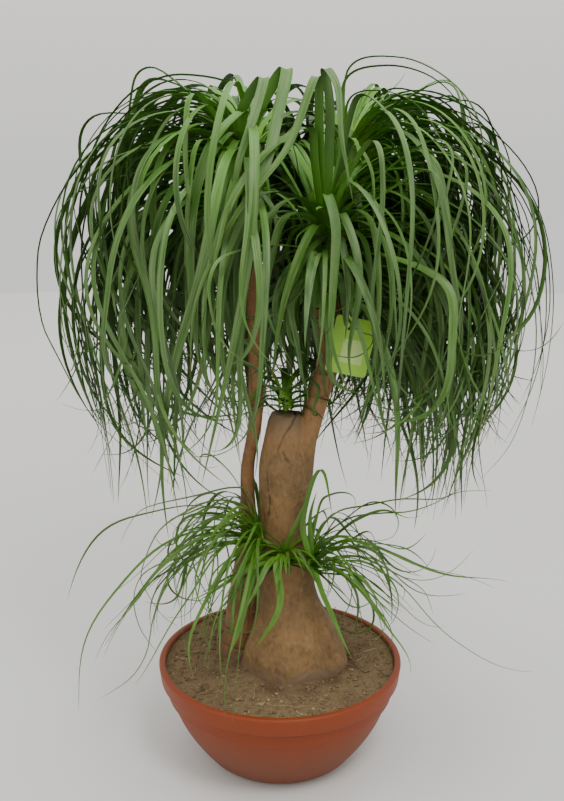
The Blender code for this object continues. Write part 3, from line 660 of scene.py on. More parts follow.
def tube(line: np.ndarray, radii: np.ndarray, sides: int) -> Shell:
    """A closed tube along a line.

    Args:
        line: The points of its middle.
        radii: Its radius at each of them.
        sides: How many sides it has.

    Returns:
        The points and the faces.
    """
    along = np.gradient(line, axis=0)
    along /= np.linalg.norm(along, axis=1)[:, None]
    side = np.cross(along, (0.31, 0.22, 0.92))
    side /= np.linalg.norm(side, axis=1)[:, None]
    up = np.cross(along, side)
    angles = np.arange(sides) * 2.0 * math.pi / sides
    circle = side[:, None] * np.cos(angles)[:, None] + up[:, None] * np.sin(angles)[:, None]
    return lofted(line[:, None] + radii[:, None, None] * circle, line[:1], line[-1:])


@dataclass(frozen=True)
class BowlPot:
    """The bowl: a plain lip band, a second band under it, a curved wall and a flat foot with drains."""

    radius: float = 0.180
    height: float = 0.150
    wall: float = 0.004
    floor: float = 0.006
    lip_width: float = 0.010
    lip_band: float = 0.026
    lip_taper: float = 0.003
    lip_step: float = 0.008
    second_band: float = 0.023
    second_taper: float = 0.002
    second_step: float = 0.0035
    foot: float = 0.097
    foot_rounding: float = 0.016
    belly: float = 0.006
    inner_belly: float = 1.3
    flare: float = 0.006
    groove: tuple[float, float, float] = (0.050, 0.074, 0.003)
    drains: int = 6
    drain_radius: float = 0.005
    drain_depth: float = 0.02
    soiled_from: float = 0.002
    soiled_over: float = 0.003
    steps: int = 240
    wall_steps: int = 14

    def levels(self) -> tuple[float, float, float, float, float]:
        """The lip's low edge and its radius there, the second band's radius and low edge, the wall's top."""
        band_low = self.height - self.lip_band
        band_radius = self.radius - self.lip_taper
        second = band_radius - self.lip_step
        wall = second - self.second_taper - self.second_step
        return band_low, band_radius, second, band_low - self.second_band, wall

    def swelling(self, top: Pair, bottom: Pair, belly: float) -> list[Corner]:
        """The wall between two corners, swelling a little between them, bottom first."""
        shares = np.linspace(1.0, 0.0, self.wall_steps + 1)
        radii = [mixed(top[0], bottom[0], share) + belly * math.sin(math.pi * share) for share in shares]
        return [(radius, mixed(top[1], bottom[1], share), 0.0) for radius, share in zip(radii, shares)]

    def inner_wall(self) -> list[Corner]:
        """Corners up the inside, from the floor to under the lip."""
        band_low, _, second, second_low, wall = self.levels()
        floor = (self.foot + self.flare, self.floor)
        rising = self.swelling((wall - self.wall, second_low), floor, self.belly * self.inner_belly)
        shoulder = (second - self.second_taper - self.wall, band_low, 0.002)
        return [*rising, shoulder, (self.radius - self.lip_width, band_low + self.lip_step, 0.003)]

    def outline(self) -> list[Pair]:
        """The whole outline, from the middle of the underside round to the middle of the floor."""
        band_low, band_radius, second, second_low, wall = self.levels()
        groove_in, groove_out, deep = self.groove
        foot_top = (self.foot + self.foot_rounding, self.foot_rounding * 0.62)
        corners = [
            (0.0, 0.0, 0.0), (groove_in, 0.0, 0.0008), (groove_in + deep, deep, 0.0008),
            (groove_out - deep, deep, 0.0008), (groove_out, 0.0, 0.0008), (self.foot, 0.0, 0.002),
            (self.foot + self.foot_rounding * 0.45, self.foot_rounding * 0.15, 0.004),
            *self.swelling((wall, second_low - 0.001), foot_top, self.belly),
            (second - self.second_taper, second_low, 0.0022), (second, band_low - 0.0004, 0.0009),
            (band_radius - 0.0012, band_low, 0.0016), (band_radius, band_low + 0.0016, 0.002),
            (self.radius, self.height - 0.0006, 0.0042), (self.radius - self.lip_width, self.height, 0.0036),
            *self.inner_wall()[::-1],
            (0.0, self.floor, 0.0),
        ]
        return rounded(corners)

    def build(self, material: bpy.types.Material) -> bpy.types.Object:
        """Make the bowl, with its drains cut, and dress it."""
        outline = self.outline()
        points, faces = revolved(outline, self.steps)
        rim = max(range(len(outline)), key=lambda row: outline[row][1])
        within = (np.arange(len(points)) - 1) // self.steps + 1 > rim
        inward = self.radius - self.lip_width + self.soiled_from - np.hypot(points[:, 0], points[:, 1])
        skin = Skin()
        skin.add(points, faces, soiled=smoothstep(inward / self.soiled_over) * within)
        pot = skin.made("bowl_pot", 40.0)
        drills = bpy.data.collections.new("drills")
        bpy.context.scene.collection.children.link(drills)
        circle = (self.groove[0] + self.groove[1]) / 2
        for hole in range(self.drains):
            angle = 2.0 * math.pi * (hole + 0.5) / self.drains
            drill = Skin()
            body, sides = disc(self.drain_radius, -self.drain_depth, self.drain_depth, 24)
            drill.add(body + (circle * math.cos(angle), circle * math.sin(angle), 0.0), sides)
            made = drill.made(f"drill_{hole + 1}")
            bpy.context.scene.collection.objects.unlink(made)
            drills.objects.link(made)
        cut = pot.modifiers.new("drains", "BOOLEAN")
        cut.operation = "DIFFERENCE"
        cut.operand_type = "COLLECTION"
        cut.collection = drills
        settle(pot)
        for drill in list(drills.objects):
            bpy.data.objects.remove(drill, do_unlink=True)
        bpy.data.collections.remove(drills)
        return dress(pot, material, Slot.TERRACOTTA, "pot")


def settle(piece: bpy.types.Object) -> None:
    """Make a piece's modifiers part of its mesh."""
    bpy.context.view_layer.update()
    graph = bpy.context.evaluated_depsgraph_get()
    mesh = bpy.data.meshes.new_from_object(piece.evaluated_get(graph))
    mesh.name = piece.name
    piece.modifiers.clear()
    piece.data = mesh


@dataclass(frozen=True)
class PottingSoil:
    """The soil in the bowl, with crumbs, rootlets and twigs lying on it."""

    pot: BowlPot
    level: float = 0.139
    heap: float = 0.006
    heap_spread: float = 0.085
    heap_x: float = 0.010
    back_rise: float = 0.007
    clear: float = 0.0005
    waves: tuple[Row, ...] = ((0.3, 38.0, 1.0), (1.7, 90.0, 0.6))
    clods: tuple[Row, ...] = ((4.1, 210.0, 0.9), (7.7, 430.0, 0.5))
    rings: int = 84
    steps: int = 300
    crumbs: int = 2400
    rootlets: int = 22
    laid: tuple[Row, ...] = (
        (-0.036, -0.125, 12.0, 0.062), (0.112, -0.010, 70.0, 0.050), (0.128, 0.020, 50.0, 0.040),
    )
    twigs: tuple[Row, ...] = (
        (0.080, 0.128, 0.5, 0.020), (0.098, 0.118, -0.4, 0.016), (0.094, 0.122, 0.9, 0.014),
    )
    bends: int = 16
    seed: int = 11

    @staticmethod
    def roughness(x: float, y: float, layers: tuple[Row, ...]) -> float:
        """Layers of noise, each a (place, waves per metre, share)."""
        return sum(noise.noise(Vector((x, y, layer)) * pitch) * share for layer, pitch, share in layers)

    def top(self, x: float, y: float) -> float:
        """Height of the soil's surface, as the solid has it, with finer clods."""
        near = math.exp(-((x - self.heap_x) ** 2 + y**2) / self.heap_spread**2)
        back = float(smoothstep((y + 0.02) / 0.17))
        rough = self.roughness(x, y, self.waves) * 1.2 + self.roughness(x, y, self.clods)
        return self.level + self.heap * near + self.back_rise * back + rough * 0.001

    def damp(self, x: float, y: float) -> float:
        """How much painted shade darkens the soil beside the swollen foot, in patches."""
        from_foot = math.hypot(x - 0.021, y - 0.003)
        patch = noise.noise(Vector((x, y, 2.0)) * 26.0)
        return float(smoothstep((0.104 - from_foot + patch * 0.03) / 0.03)) * (0.6 + patch)

    def build_surface(self, material: bpy.types.Material) -> bpy.types.Object:
        """The fill of the bowl, closed underneath."""
        brim = self.pot.radius - self.pot.lip_width - self.clear
        lip = (self.pot.radius - self.pot.lip_width, self.pot.height, 0.0)
        sides = rounded([(0.0, 0.0, 0.0), *self.pot.inner_wall(), lip])[1:-1]
        sides = [(radius - self.clear, max(height, self.pot.floor + self.clear)) for radius, height in sides]
        above = self.pot.height * 2.0
        top = [(brim * (1.0 - ring / self.rings), above) for ring in range(self.rings + 1)]
        points, faces = revolved([(0.0, self.pot.floor + self.clear), *sides, *top], self.steps)
        lifted = points[:, 2] > self.pot.height
        points[lifted, 2] = [self.top(x, y) for x, y, _ in points[lifted]]
        skin = Skin()
        # The mask carries the painted shade round the stems' feet
        skin.add(points, faces, damp=np.array([self.damp(x, y) for x, y, _ in points]))
        return dress(skin.made("potting_soil", 60.0), material, Slot.SOIL, "soil")

    def spot(self, draw: random.Random, feet: list["Stem"]) -> Pair:
        """A random place on the soil that is clear of the stems."""
        while True:
            out = (self.pot.radius - self.pot.lip_width - 0.004) * math.sqrt(draw.random())
            turn = draw.uniform(0.0, 2.0 * math.pi)
            x, y = out * math.cos(turn), out * math.sin(turn)
            if all(foot.beside(x, y, self.level) > 0.002 for foot in feet):
                return x, y

    def build_crumbs(self, material: bpy.types.Material, feet: list["Stem"]) -> bpy.types.Object:
        """Rough crumbs of all sizes, sunk a little into the soil."""
        draw = random.Random(self.seed)
        ball, ball_faces = revolved([(0.0, -1.0), (0.82, -0.5), (0.95, 0.35), (0.45, 0.9), (0.0, 1.0)], 7)
        skin = Skin()
        for _ in range(self.crumbs):
            x, y = self.spot(draw, feet)
            size = mixed(0.0006, 0.0034, draw.random() ** 4.0)
            stretch = np.array([draw.uniform(0.6, 1.5), draw.uniform(0.6, 1.3), draw.uniform(0.45, 0.9)])
            rough = np.array([[draw.uniform(0.72, 1.2)] for _ in ball])
            turn = draw.uniform(0.0, 2.0 * math.pi)
            shape = ball * rough * stretch * size
            spin = np.array([[math.cos(turn), math.sin(turn)], [-math.sin(turn), math.cos(turn)]])
            flat = shape[:, :2] @ spin
            lie = self.top(x, y) + size * stretch[2] * 0.35
            skin.add(np.column_stack([flat + (x, y), shape[:, 2] + lie]), ball_faces, tone=draw.random())
        return dress(skin.made("soil_crumbs", 50.0), material, Slot.SOIL)

    def build_rootlets(self, material: bpy.types.Material, feet: list["Stem"]) -> bpy.types.Object:
        """Thin dry rootlets that lie on the soil, and a few twigs that stick out of it at the back."""
        draw = random.Random(self.seed + 1)
        skin = Skin()
        edge = self.pot.radius - self.pot.lip_width - 0.003
        for number in range(self.rootlets):
            if number < len(self.laid):
                x, y, heading, length = self.laid[number]
            else:
                x, y = self.spot(draw, feet)
                heading = draw.uniform(0.0, 360.0)
                length = draw.uniform(0.012, 0.045)
            line = []
            for _ in range(self.bends):
                heading += draw.uniform(-26.0, 26.0)
                x += math.cos(math.radians(heading)) * length / self.bends
                y += math.sin(math.radians(heading)) * length / self.bends
                inward = min(1.0, edge / max(1e-6, math.hypot(x, y)))
                x, y = x * inward, y * inward
                line.append((x, y, self.top(x, y) + 0.0007))
            radii = draw.uniform(0.00035, 0.0007) * np.linspace(1.0, 0.35, self.bends)
            points, faces = tube(np.array(line), radii, 6)
            skin.add(points, faces, tone=mixed(0.35, 1.0, draw.random()))
        for x, y, lean, length in self.twigs:
            foot = self.top(x, y) - 0.003
            steps = np.linspace(0.0, 1.0, 8)
            line = np.stack([x + lean * length * steps, y + 0.004 * steps**2, foot + length * steps], 1)
            points, faces = tube(line, 0.0011 * (1.0 - 0.5 * steps), 7)
            skin.add(points, faces, tone=0.1)
        return dress(skin.made("rootlets", 60.0), material, Slot.SOIL)


@dataclass(frozen=True)
class Stem:
    """One stem of the plant: its line with its radii, and the lobes of its foot."""

    stations: tuple[Station, ...]
    lobes: tuple[tuple[int, float, float], ...] = ()
    sides: int = 96
    rings: int = 220
    fade: Pair = (0.16, 0.34)
    loss: float = 0.75

    def at(self, height: float) -> tuple[float, float, float]:
        """Middle and radius at a height."""
        line = np.array(self.stations)
        return tuple(float(np.interp(height, line[:, 2], line[:, column])) for column in (0, 1, 3))

    def beside(self, x: float, y: float, height: float) -> float:
        """How far a place is from the stem's bark at a height."""
        middle_x, middle_y, radius = self.at(height)
        return math.hypot(x - middle_x, y - middle_y) - radius

    def shell(self) -> Shell:
        """A smooth closed shell, as the solid has it."""
        line = spline(self.stations, self.rings)
        angles = np.arange(self.sides) * 2.0 * math.pi / self.sides
        swell = 1.0 - self.loss * smoothstep((line[:, 2] - self.fade[0]) / (self.fade[1] - self.fade[0]))
        lobes = (depth * np.cos(count * angles + turn) for count, depth, turn in self.lobes)
        out = line[:, 3, None] * (1.0 + swell[:, None] * sum(lobes, np.zeros(self.sides)))
        rings = np.stack(
            [line[:, 0, None] + out * np.cos(angles), line[:, 1, None] + out * np.sin(angles),
             np.repeat(line[:, 2, None], self.sides, 1)], 2
        )
        return lofted(rings, line[:1, :3], line[-1:, :3])


def groove(value: float, width: float) -> float:
    """A narrow groove where a value passes zero: 1 in its middle, 0 past its width."""
    return max(0.0, 1.0 - abs(value) / width) ** 1.5


def line_distance(x: float, z: float, line: tuple[Pair, ...]) -> float:
    """How far a place in the front view is from a bent line."""
    nearest = 9.0
    for (start_x, start_z), (end_x, end_z) in zip(line, line[1:]):
        along_x, along_z = end_x - start_x, end_z - start_z
        share = ((x - start_x) * along_x + (z - start_z) * along_z) / (along_x**2 + along_z**2)
        share = min(1.0, max(0.0, share))
        nearest = min(nearest, math.hypot(x - start_x - share * along_x, z - start_z - share * along_z))
    return nearest


@dataclass(frozen=True)
class WoodyPlant:
    """A woody body grown from one or more stems, with its bark's folds, cracks and scar rings."""

    name: str
    node: str
    slot: Slot
    stems: tuple[Stem, ...]
    voxel: float
    soften: int
    lumps: float = 0.0012
    fibres: float = 0.00030
    rough_foot: float = 0.0
    crack_depth: float = 0.0013
    ringed: bool = False
    dead_above: float = 9.0
    soil_line: float = 0.160
    soil_ragged: float = 0.012
    soil_fade: float = 0.016
    cracks_before: float = 0.012
    notches: tuple[Pair, ...] = ()
    cracks: tuple[tuple[Pair, ...], ...] = ()

    def nearest(self, point: Vector) -> tuple[int, float]:
        """The stem that a point lies on, and the angle round it."""
        gaps = [abs(stem.beside(*point)) for stem in self.stems]
        best = gaps.index(min(gaps))
        x, y, _ = self.stems[best].at(point.z)
        return best, math.atan2(point.y - y, point.x - x)

    def relief(self, point: Vector) -> tuple[float, float, float]:
        """How the bark stands out or in at a point.

        Args:
            point: The point on the smooth body.

        Returns:
            The height out of the smooth body, the crack mask and the dead wood mask.
        """
        x, y, z = point
        stem, angle = self.nearest(point)
        foot = 1.0 - float(smoothstep((z - 0.19) / 0.10))
        lump = noise.noise(Vector((x * 30.0, y * 30.0, z * 14.0)))
        swirl = noise.noise(Vector((x * 24.0 + lump * 0.5, y * 24.0, z * 130.0 + lump * 2.5)))
        fibres = noise.noise(Vector((x * 150.0, y * 150.0, z * 24.0)))
        fine = noise.noise(Vector((x, y, z * 0.7)) * 300.0)
        broad = noise.noise(point * 15.0)
        height = lump * self.lumps + fine * 0.00022 + fibres * self.fibres * (1.0 + self.rough_foot * foot)
        knobs = noise.noise(Vector((x * 22.0 + 3.0, y * 22.0, z * 30.0)))
        height += (swirl * 0.0008 + knobs * 0.0035) * foot
        upright = noise.noise(Vector((x * 40.0, y * 40.0, z * 8.0 + 11.0)))
        crack = groove(upright, 0.022) * float(smoothstep((broad - 0.02) / 0.25)) * (1.0 - 0.7 * foot)
        patch = float(smoothstep((0.12 - abs(broad - 0.1)) / 0.1))
        crease = groove(swirl, 0.06) * patch * (0.2 + 0.5 * foot)
        rings = 0.0
        if stem or self.ringed:
            spacing = 0.0080 + 0.0015 * noise.noise(Vector((0.0, stem * 5.0, z * 20.0)))
            phase = z / spacing + 0.3 * math.sin(angle + stem) + 0.6 * noise.noise(point * 26.0)
            rings = groove(math.sin(math.pi * phase), 0.22) * max(0.0, 0.5 + noise.noise(point * 45.0))
        cut = sum(groove(z - level - 0.003 * math.sin(angle * 2.0), half) for level, half in self.notches)
        if y < self.cracks_before:
            cut += sum(groove(line_distance(x, z, line) + 0.002 * swirl, 0.0026) for line in self.cracks)
        height -= self.crack_depth * (crack + 0.35 * crease + 0.9 * cut) + 0.0005 * rings
        dead = 0.0
        if stem == 0:
            dead = float(smoothstep((z - self.dead_above + 0.010 * lump) / 0.04))
            height += dead * (noise.noise(point * 95.0) * 0.0018 + lump * 0.0010)
        return height, min(1.0, crack + 0.3 * crease + 0.35 * rings + cut), dead

    def build(self, material: bpy.types.Material) -> bpy.types.Object:
        """Grow the stems together, shape the bark and dress it."""
        smooth = Skin()
        for stem in self.stems:
            smooth.add(*stem.shell())
        piece = smooth.made(self.name, 180.0)
        remesh = piece.modifiers.new("together", "REMESH")
        remesh.mode = "VOXEL"
        remesh.voxel_size = self.voxel * 1.0
        relax = piece.modifiers.new("soften", "SMOOTH")
        relax.factor = 0.5
        relax.iterations = self.soften
        settle(piece)
        mesh = piece.data
        count = len(mesh.vertices)
        points = np.empty(count * 3, np.float32)
        mesh.vertices.foreach_get("co", points)
        points = points.reshape(-1, 3).astype(float)
        normals = np.array([vertex.normal for vertex in mesh.vertices])
        found = np.array([self.relief(Vector(point)) for point in points])
        points += normals * found[:, :1]
        mesh.vertices.foreach_set("co", points.astype(np.float32).ravel())
        ragged = np.array([noise.noise(Vector(point) * 60.0) for point in points])
        under = self.soil_line + ragged * self.soil_ragged - points[:, 2]
        soiled = smoothstep(under / self.soil_fade)
        for mask, values in (("crack", found[:, 1]), ("dead", found[:, 2]), ("soiled", soiled)):
            mesh.attributes.new(mask, "FLOAT", "POINT").data.foreach_set("value", values.astype(np.float32))
        mesh.shade_smooth()
        mesh.update()
        return dress(piece, material, self.slot, self.node)


GOLDEN_ANGLE = 137.508
NOISE_SEED = 4
PATH_STEPS = 96
SHARES = (np.arange(PATH_STEPS) + 0.5) / PATH_STEPS
POST_FADE = 0.05
# The directions, in degrees, that face the viewer
FRONT = (214.0, 322.0)
# The fewest points that a leaf's line may keep
SHORTEST_LINE = 12
SHORTEST_IN_DOME = 16
SHORTEST_STUB = 34
# How full a leaf may be at most, and how near it has to come to its goal
FULLEST = 1.15
NEAR_GOAL = 0.05
OVER_GOAL = 0.015
OVER_GOAL_LAST = 0.04
# Steps and limits of a leaf's fitting, in metres and degrees
BOX_MARGIN = 0.004
FAR_REACH = 0.37
LONGEST_REACH = 0.375
LOWERED_BY = 7.0
# Where leaves end above the floor and the pot
LOWEST_LEAF = 0.014
LOWEST_OVER_POT = 0.164
OVER_POT_RADIUS = 0.200


@dataclass(frozen=True)
class Post:
    """An upright stretch of stem or tag that hanging leaves part round."""

    at: Pair
    radius: float
    bottom: float
    top: float

    def part(self, points: np.ndarray) -> np.ndarray:
        """The points moved out round the post."""
        over = smoothstep((points[:, 2] - self.bottom + POST_FADE) / POST_FADE)
        under = smoothstep((self.top + POST_FADE - points[:, 2]) / POST_FADE)
        radius = self.radius * over * under
        away = points[:, :2] - self.at
        distance = np.maximum(1e-6, np.hypot(away[:, 0], away[:, 1]))
        moved = (distance**4 + radius**4) ** 0.25
        parted = points.copy()
        parted[:, :2] = self.at + away * (moved / distance)[:, None]
        return parted


@dataclass(frozen=True)
class Leaf:
    """One leaf: where it leaves its core, and how it rises, turns over and hangs.

    The angles are in degrees. Its reach is how far out it comes, its fold how much of its bend is
    in one place, and its fall the way its lower part points: past -90 it hangs back inwards.
    """

    root: Point
    azimuth: float
    rise: float
    fall: float
    reach: float
    length: float
    drift: float
    twist: float
    width: float
    fold: float = 0.0
    fresh: float = 0.0
    tip_above: float = 0.0
    short: bool = False


@dataclass(frozen=True)
class Head:
    """A tuft of leaves on a short core, and the rule that its leaves follow."""

    name: str
    foot: Point
    height: float
    core_radius: float
    foot_radius: float
    drawn: int
    reach: Pair
    length: Pair
    rise: Pair
    fall: Pair
    width: Pair
    facing: float = 0.0
    gather: float = 1.0
    tips_above: Pair = (0.0, 0.0)
    posts: tuple[Post, ...] = ()
    sway: float = 0.22
    curl: float = 78.0
    drift: float = 0.75
    twist: float = 100.0
    folded: float = 0.12
    age_curve: float = 1.2
    heart: int = 0
    collar: int = 0
    front_share: float = 1.0

    def root_on(self, azimuth: float, share: float) -> Point:
        """A place inside the core, part of the way out towards its skin."""
        out = self.core_radius * (0.55 - 0.25 * share**3)
        angle = math.radians(azimuth)
        x, y, z = self.foot
        up = self.height * mixed(0.14, 0.84, share)
        return (x + out * math.cos(angle), y + out * math.sin(angle), z + up)

    def leaf(self, number: int) -> Leaf:
        """The leaf that the rule gives for a number. Low numbers are the old, low leaves."""
        draw = random.Random(f"{self.name} {number}")
        share = (number + 0.5) / self.drawn
        turned_by = (number * GOLDEN_ANGLE + draw.uniform(-14.0, 14.0) - self.facing + 180.0) % 360.0 - 180.0
        azimuth = (self.facing + self.gather * turned_by) % 360.0
        if FRONT[0] < azimuth < FRONT[1] and draw.random() > self.front_share:
            azimuth = 360.0 - azimuth
        age = min(1.0, max(0.0, share + draw.uniform(-0.25, 0.25))) ** self.age_curve
        return Leaf(
            root=self.root_on(azimuth, share),
            azimuth=azimuth,
            rise=mixed(*self.rise, age),
            fall=mixed(*self.fall, draw.random()),
            reach=mixed(*self.reach, draw.random()),
            length=mixed(*self.length, draw.random()),
            drift=self.drift * draw.uniform(-1.0, 1.0),
            twist=self.twist * draw.uniform(-1.0, 1.0),
            width=mixed(*self.width, draw.random() ** 1.6),
            fold=draw.uniform(0.35, 0.75) if draw.random() < self.folded else 0.0,
            tip_above=mixed(*self.tips_above, draw.random()),
        )

    def heart_leaf(self, number: int) -> Leaf:
        """A short, bright young leaf that stands up in the head's heart."""
        draw = random.Random(f"{self.name} heart {number}")
        azimuth = number * GOLDEN_ANGLE
        length = mixed(0.07, 0.14, draw.random())
        rise = mixed(14.0, 82.0, number / self.heart)
        return Leaf(
            root=self.root_on(azimuth, 0.95),
            azimuth=azimuth,
            rise=rise,
            fall=rise - draw.uniform(15.0, 60.0),
            reach=length * 0.45,
            length=length,
            drift=0.2 * draw.uniform(-1.0, 1.0),
            twist=draw.uniform(-30.0, 30.0),
            width=mixed(0.0060, 0.0095, draw.random()),
            fresh=1.0,
            short=True,
        )

    def collar_leaf(self, number: int) -> Leaf:
        """A short old leaf that hangs close round the core."""
        draw = random.Random(f"{self.name} collar {number}")
        azimuth = number * GOLDEN_ANGLE
        return Leaf(
            root=self.root_on(azimuth, draw.uniform(0.0, 0.7)),
            azimuth=azimuth,
            rise=draw.uniform(-15.0, 40.0),
            fall=draw.uniform(-80.0, -105.0),
            reach=draw.uniform(0.025, 0.080),
            length=draw.uniform(0.12, 0.26),
            drift=self.drift * draw.uniform(-1.0, 1.0),
            twist=self.twist * draw.uniform(-1.0, 1.0),
            width=mixed(0.0060, 0.0110, draw.random()),
            short=True,
        )

    def path(self, leaf: Leaf, stray: np.ndarray) -> np.ndarray:
        """The line of a leaf.

        Args:
            leaf: The leaf.
            stray: How its heading strays from its plain bend, at each step.

        Returns:
            Its points, from its root to where its tip ends.
        """
        rise = math.radians(leaf.rise)
        fall = math.radians(leaf.fall)
        eased = self.eased(np.linspace(0.0, 1.0, 33), leaf.fold)
        level_share = np.maximum(0.0, np.cos(rise + (fall - rise) * eased)).mean()
        bend = leaf.reach / max(0.15, level_share)
        elevation = rise + (fall - rise) * self.eased(SHARES * leaf.length / bend, leaf.fold)
        azimuth = math.radians(leaf.azimuth) + leaf.drift * SHARES**2
        level = np.cos(elevation)
        heading = np.stack([level * np.cos(azimuth), level * np.sin(azimuth), np.sin(elevation)], 1) + stray
        heading /= np.linalg.norm(heading, axis=1)[:, None]
        points = leaf.root + np.cumsum(heading * leaf.length / PATH_STEPS, axis=0)
        for post in self.posts:
            points[2:] = post.part(points[2:])
        return np.concatenate([[leaf.root], points])

    def curled(self, points: np.ndarray, leaf: Leaf, draw: random.Random) -> np.ndarray:
        """A leaf's line with its last part curled to one side, ended before it meets pot or floor."""
        steps = np.diff(points, axis=0)
        start = draw.uniform(0.35, 0.75)
        grown = smoothstep((np.linspace(0.0, 1.0, len(steps)) - start) / (1.0 - start))
        limp = min(1.0, 0.0080 / leaf.width)
        angle = (math.radians(self.curl * limp * draw.gauss(0.0, 1.0)) * grown)[:, None]
        turn = draw.uniform(0.0, math.pi)
        axis = np.array([math.cos(turn), math.sin(turn), 0.0])
        lean = axis * (steps @ axis)[:, None]
        steps = steps * np.cos(angle) + np.cross(axis, steps) * np.sin(angle) + lean * (1.0 - np.cos(angle))
        points = np.concatenate([points[:1], points[0] + np.cumsum(steps, axis=0)])
        over_pot = np.hypot(points[:, 0], points[:, 1]) < OVER_POT_RADIUS
        lowest = np.maximum(leaf.tip_above, np.where(over_pot, LOWEST_OVER_POT, LOWEST_LEAF))
        below = np.nonzero(points[:, 2] < lowest)[0]
        return points[: below[0]] if len(below) else points

    @staticmethod
    def eased(share: np.ndarray, fold: float) -> np.ndarray:
        """How much of a leaf's bend is done: a weeping arc, part of which is in one fold."""
        arc = 1.0 - (1.0 - np.clip(share, 0.0, 1.0)) ** 1.45
        return mixed(arc, smoothstep((share - 0.36) / 0.16), fold)

    def stray(self, leaf: Leaf) -> np.ndarray:
        """How a leaf strays from its plain bend: with the leaves beside it, and on its own."""
        draw = random.Random(f"{self.name} {leaf.azimuth:.4f} {leaf.length:.5f}")
        angle = math.radians(leaf.azimuth)
        around = (2.4 * math.cos(angle), 2.4 * math.sin(angle))
        coarse = np.linspace(0.0, 1.0, 14)
        shift = self.foot[0] * 50.0
        flows = np.array([noise.noise_vector((*around, 2.6 * place + shift)) for place in coarse])
        flow = np.stack([np.interp(SHARES, coarse, flows[:, axis]) for axis in range(3)], 1)
        own = np.zeros_like(flow)
        for waves, depth in ((0.6, 0.65), (1.3, 0.40), (2.4, 0.18)):
            phase = np.array([draw.uniform(0.0, 2.0 * math.pi) for _ in range(3)])
            own += depth * np.sin(2.0 * math.pi * waves * SHARES[:, None] + phase)
        grown = smoothstep(SHARES / 0.6)[:, None]
        return (flow * 1.2 + own * 1.2) * self.sway * grown


@dataclass(frozen=True)
class Window:
    """A stretch of the front view that most leaves leave open. Sizes are at the trunk's depth."""

    left: float
    right: float
    bottom: float
    top: float
    open_share: float
    trims: bool = True

    def crossed(self, seen: np.ndarray, before: np.ndarray) -> np.ndarray:
        """Which of the points that lie before the stems are seen in the window."""
        across = (seen[:, 0] > self.left) & (seen[:, 0] < self.right)
        return np.nonzero(across & (seen[:, 2] > self.bottom) & (seen[:, 2] < self.top) & before)[0]


@dataclass(frozen=True)
class Dome:
    """The shape that the three heads fill together, with the windows in its front.

    The outline gives half its width by height. Before the stems it is set against what the front
    view sees, on the upright plane through the pot's middle.
    """

    windows: tuple[Window, ...] = ()
    eye: Point = EYE
    middle: Pair = (0.018, 0.055)
    depth: float = 0.87
    highest: float = 0.992
    outline: tuple[Pair, ...] = (
        (0.400, 0.255), (0.424, 0.272), (0.505, 0.304), (0.551, 0.326), (0.618, 0.346), (0.667, 0.354),
        (0.708, 0.356), (0.788, 0.344), (0.876, 0.306), (0.936, 0.270), (0.972, 0.235), (0.990, 0.180),
    )
    before: float = -0.035
    tips_middle: Pair = (0.395, 0.590)
    tips_side: Pair = (0.350, 0.530)

    def seen(self, points: np.ndarray) -> np.ndarray:
        """Where points appear on the upright plane through the pot's middle."""
        eye = np.array(self.eye)
        share = eye[1] / (eye[1] - points[:, 1])
        return eye + (points - eye) * share[:, None]

    def fullness(self, points: np.ndarray) -> float:
        """How far the points reach out of the dome's middle, where 1 is on its skin."""
        front = self.seen(points)
        nearer = points[:, 1] < 0.0
        x = np.where(nearer, front[:, 0], points[:, 0])
        z = np.where(nearer, front[:, 2], points[:, 2])
        heights, widths = np.array(self.outline).T
        wide = np.interp(z, heights, widths)
        out = np.hypot((x - self.middle[0]) / wide, (points[:, 1] - self.middle[1]) / (wide * self.depth))
        return float(out.max())

    def trimmed(self, points: np.ndarray, draw: random.Random) -> np.ndarray:
        """A leaf's line, ended where the skirt of the dome ends."""
        front = self.seen(points)
        side = float(smoothstep(np.abs(front[-1, 0] - self.middle[0]) / 0.16))
        share = draw.random() ** 1.3
        lowest = mixed(mixed(*self.tips_middle, share), mixed(*self.tips_side, share), side)
        level = np.where(points[:, 1] < 0.0, front[:, 2], points[:, 2])
        below = np.nonzero(level < lowest)[0]
        return points[: below[0]] if len(below) else points

    def cleared(self, points: np.ndarray, draw: random.Random) -> np.ndarray | None:
        """A leaf's line, ended before it hides a window, or none where it would leave only a stub."""
        for window in self.windows:
            before = points[:, 1] < self.before
            crossed = window.crossed(self.seen(points), before)
            if len(crossed) and draw.random() < window.open_share:
                kept = crossed[0] - draw.randrange(6)
                if not window.trims or kept < SHORTEST_STUB:
                    return None
                points = points[:kept]
        return points


# A blade's four sides: the two corners of a side, and 1 where it faces down
BLADE_SIDES = ((0, 1, 0.0), (1, 2, 0.0), (2, 3, 1.0), (3, 0, 1.0))


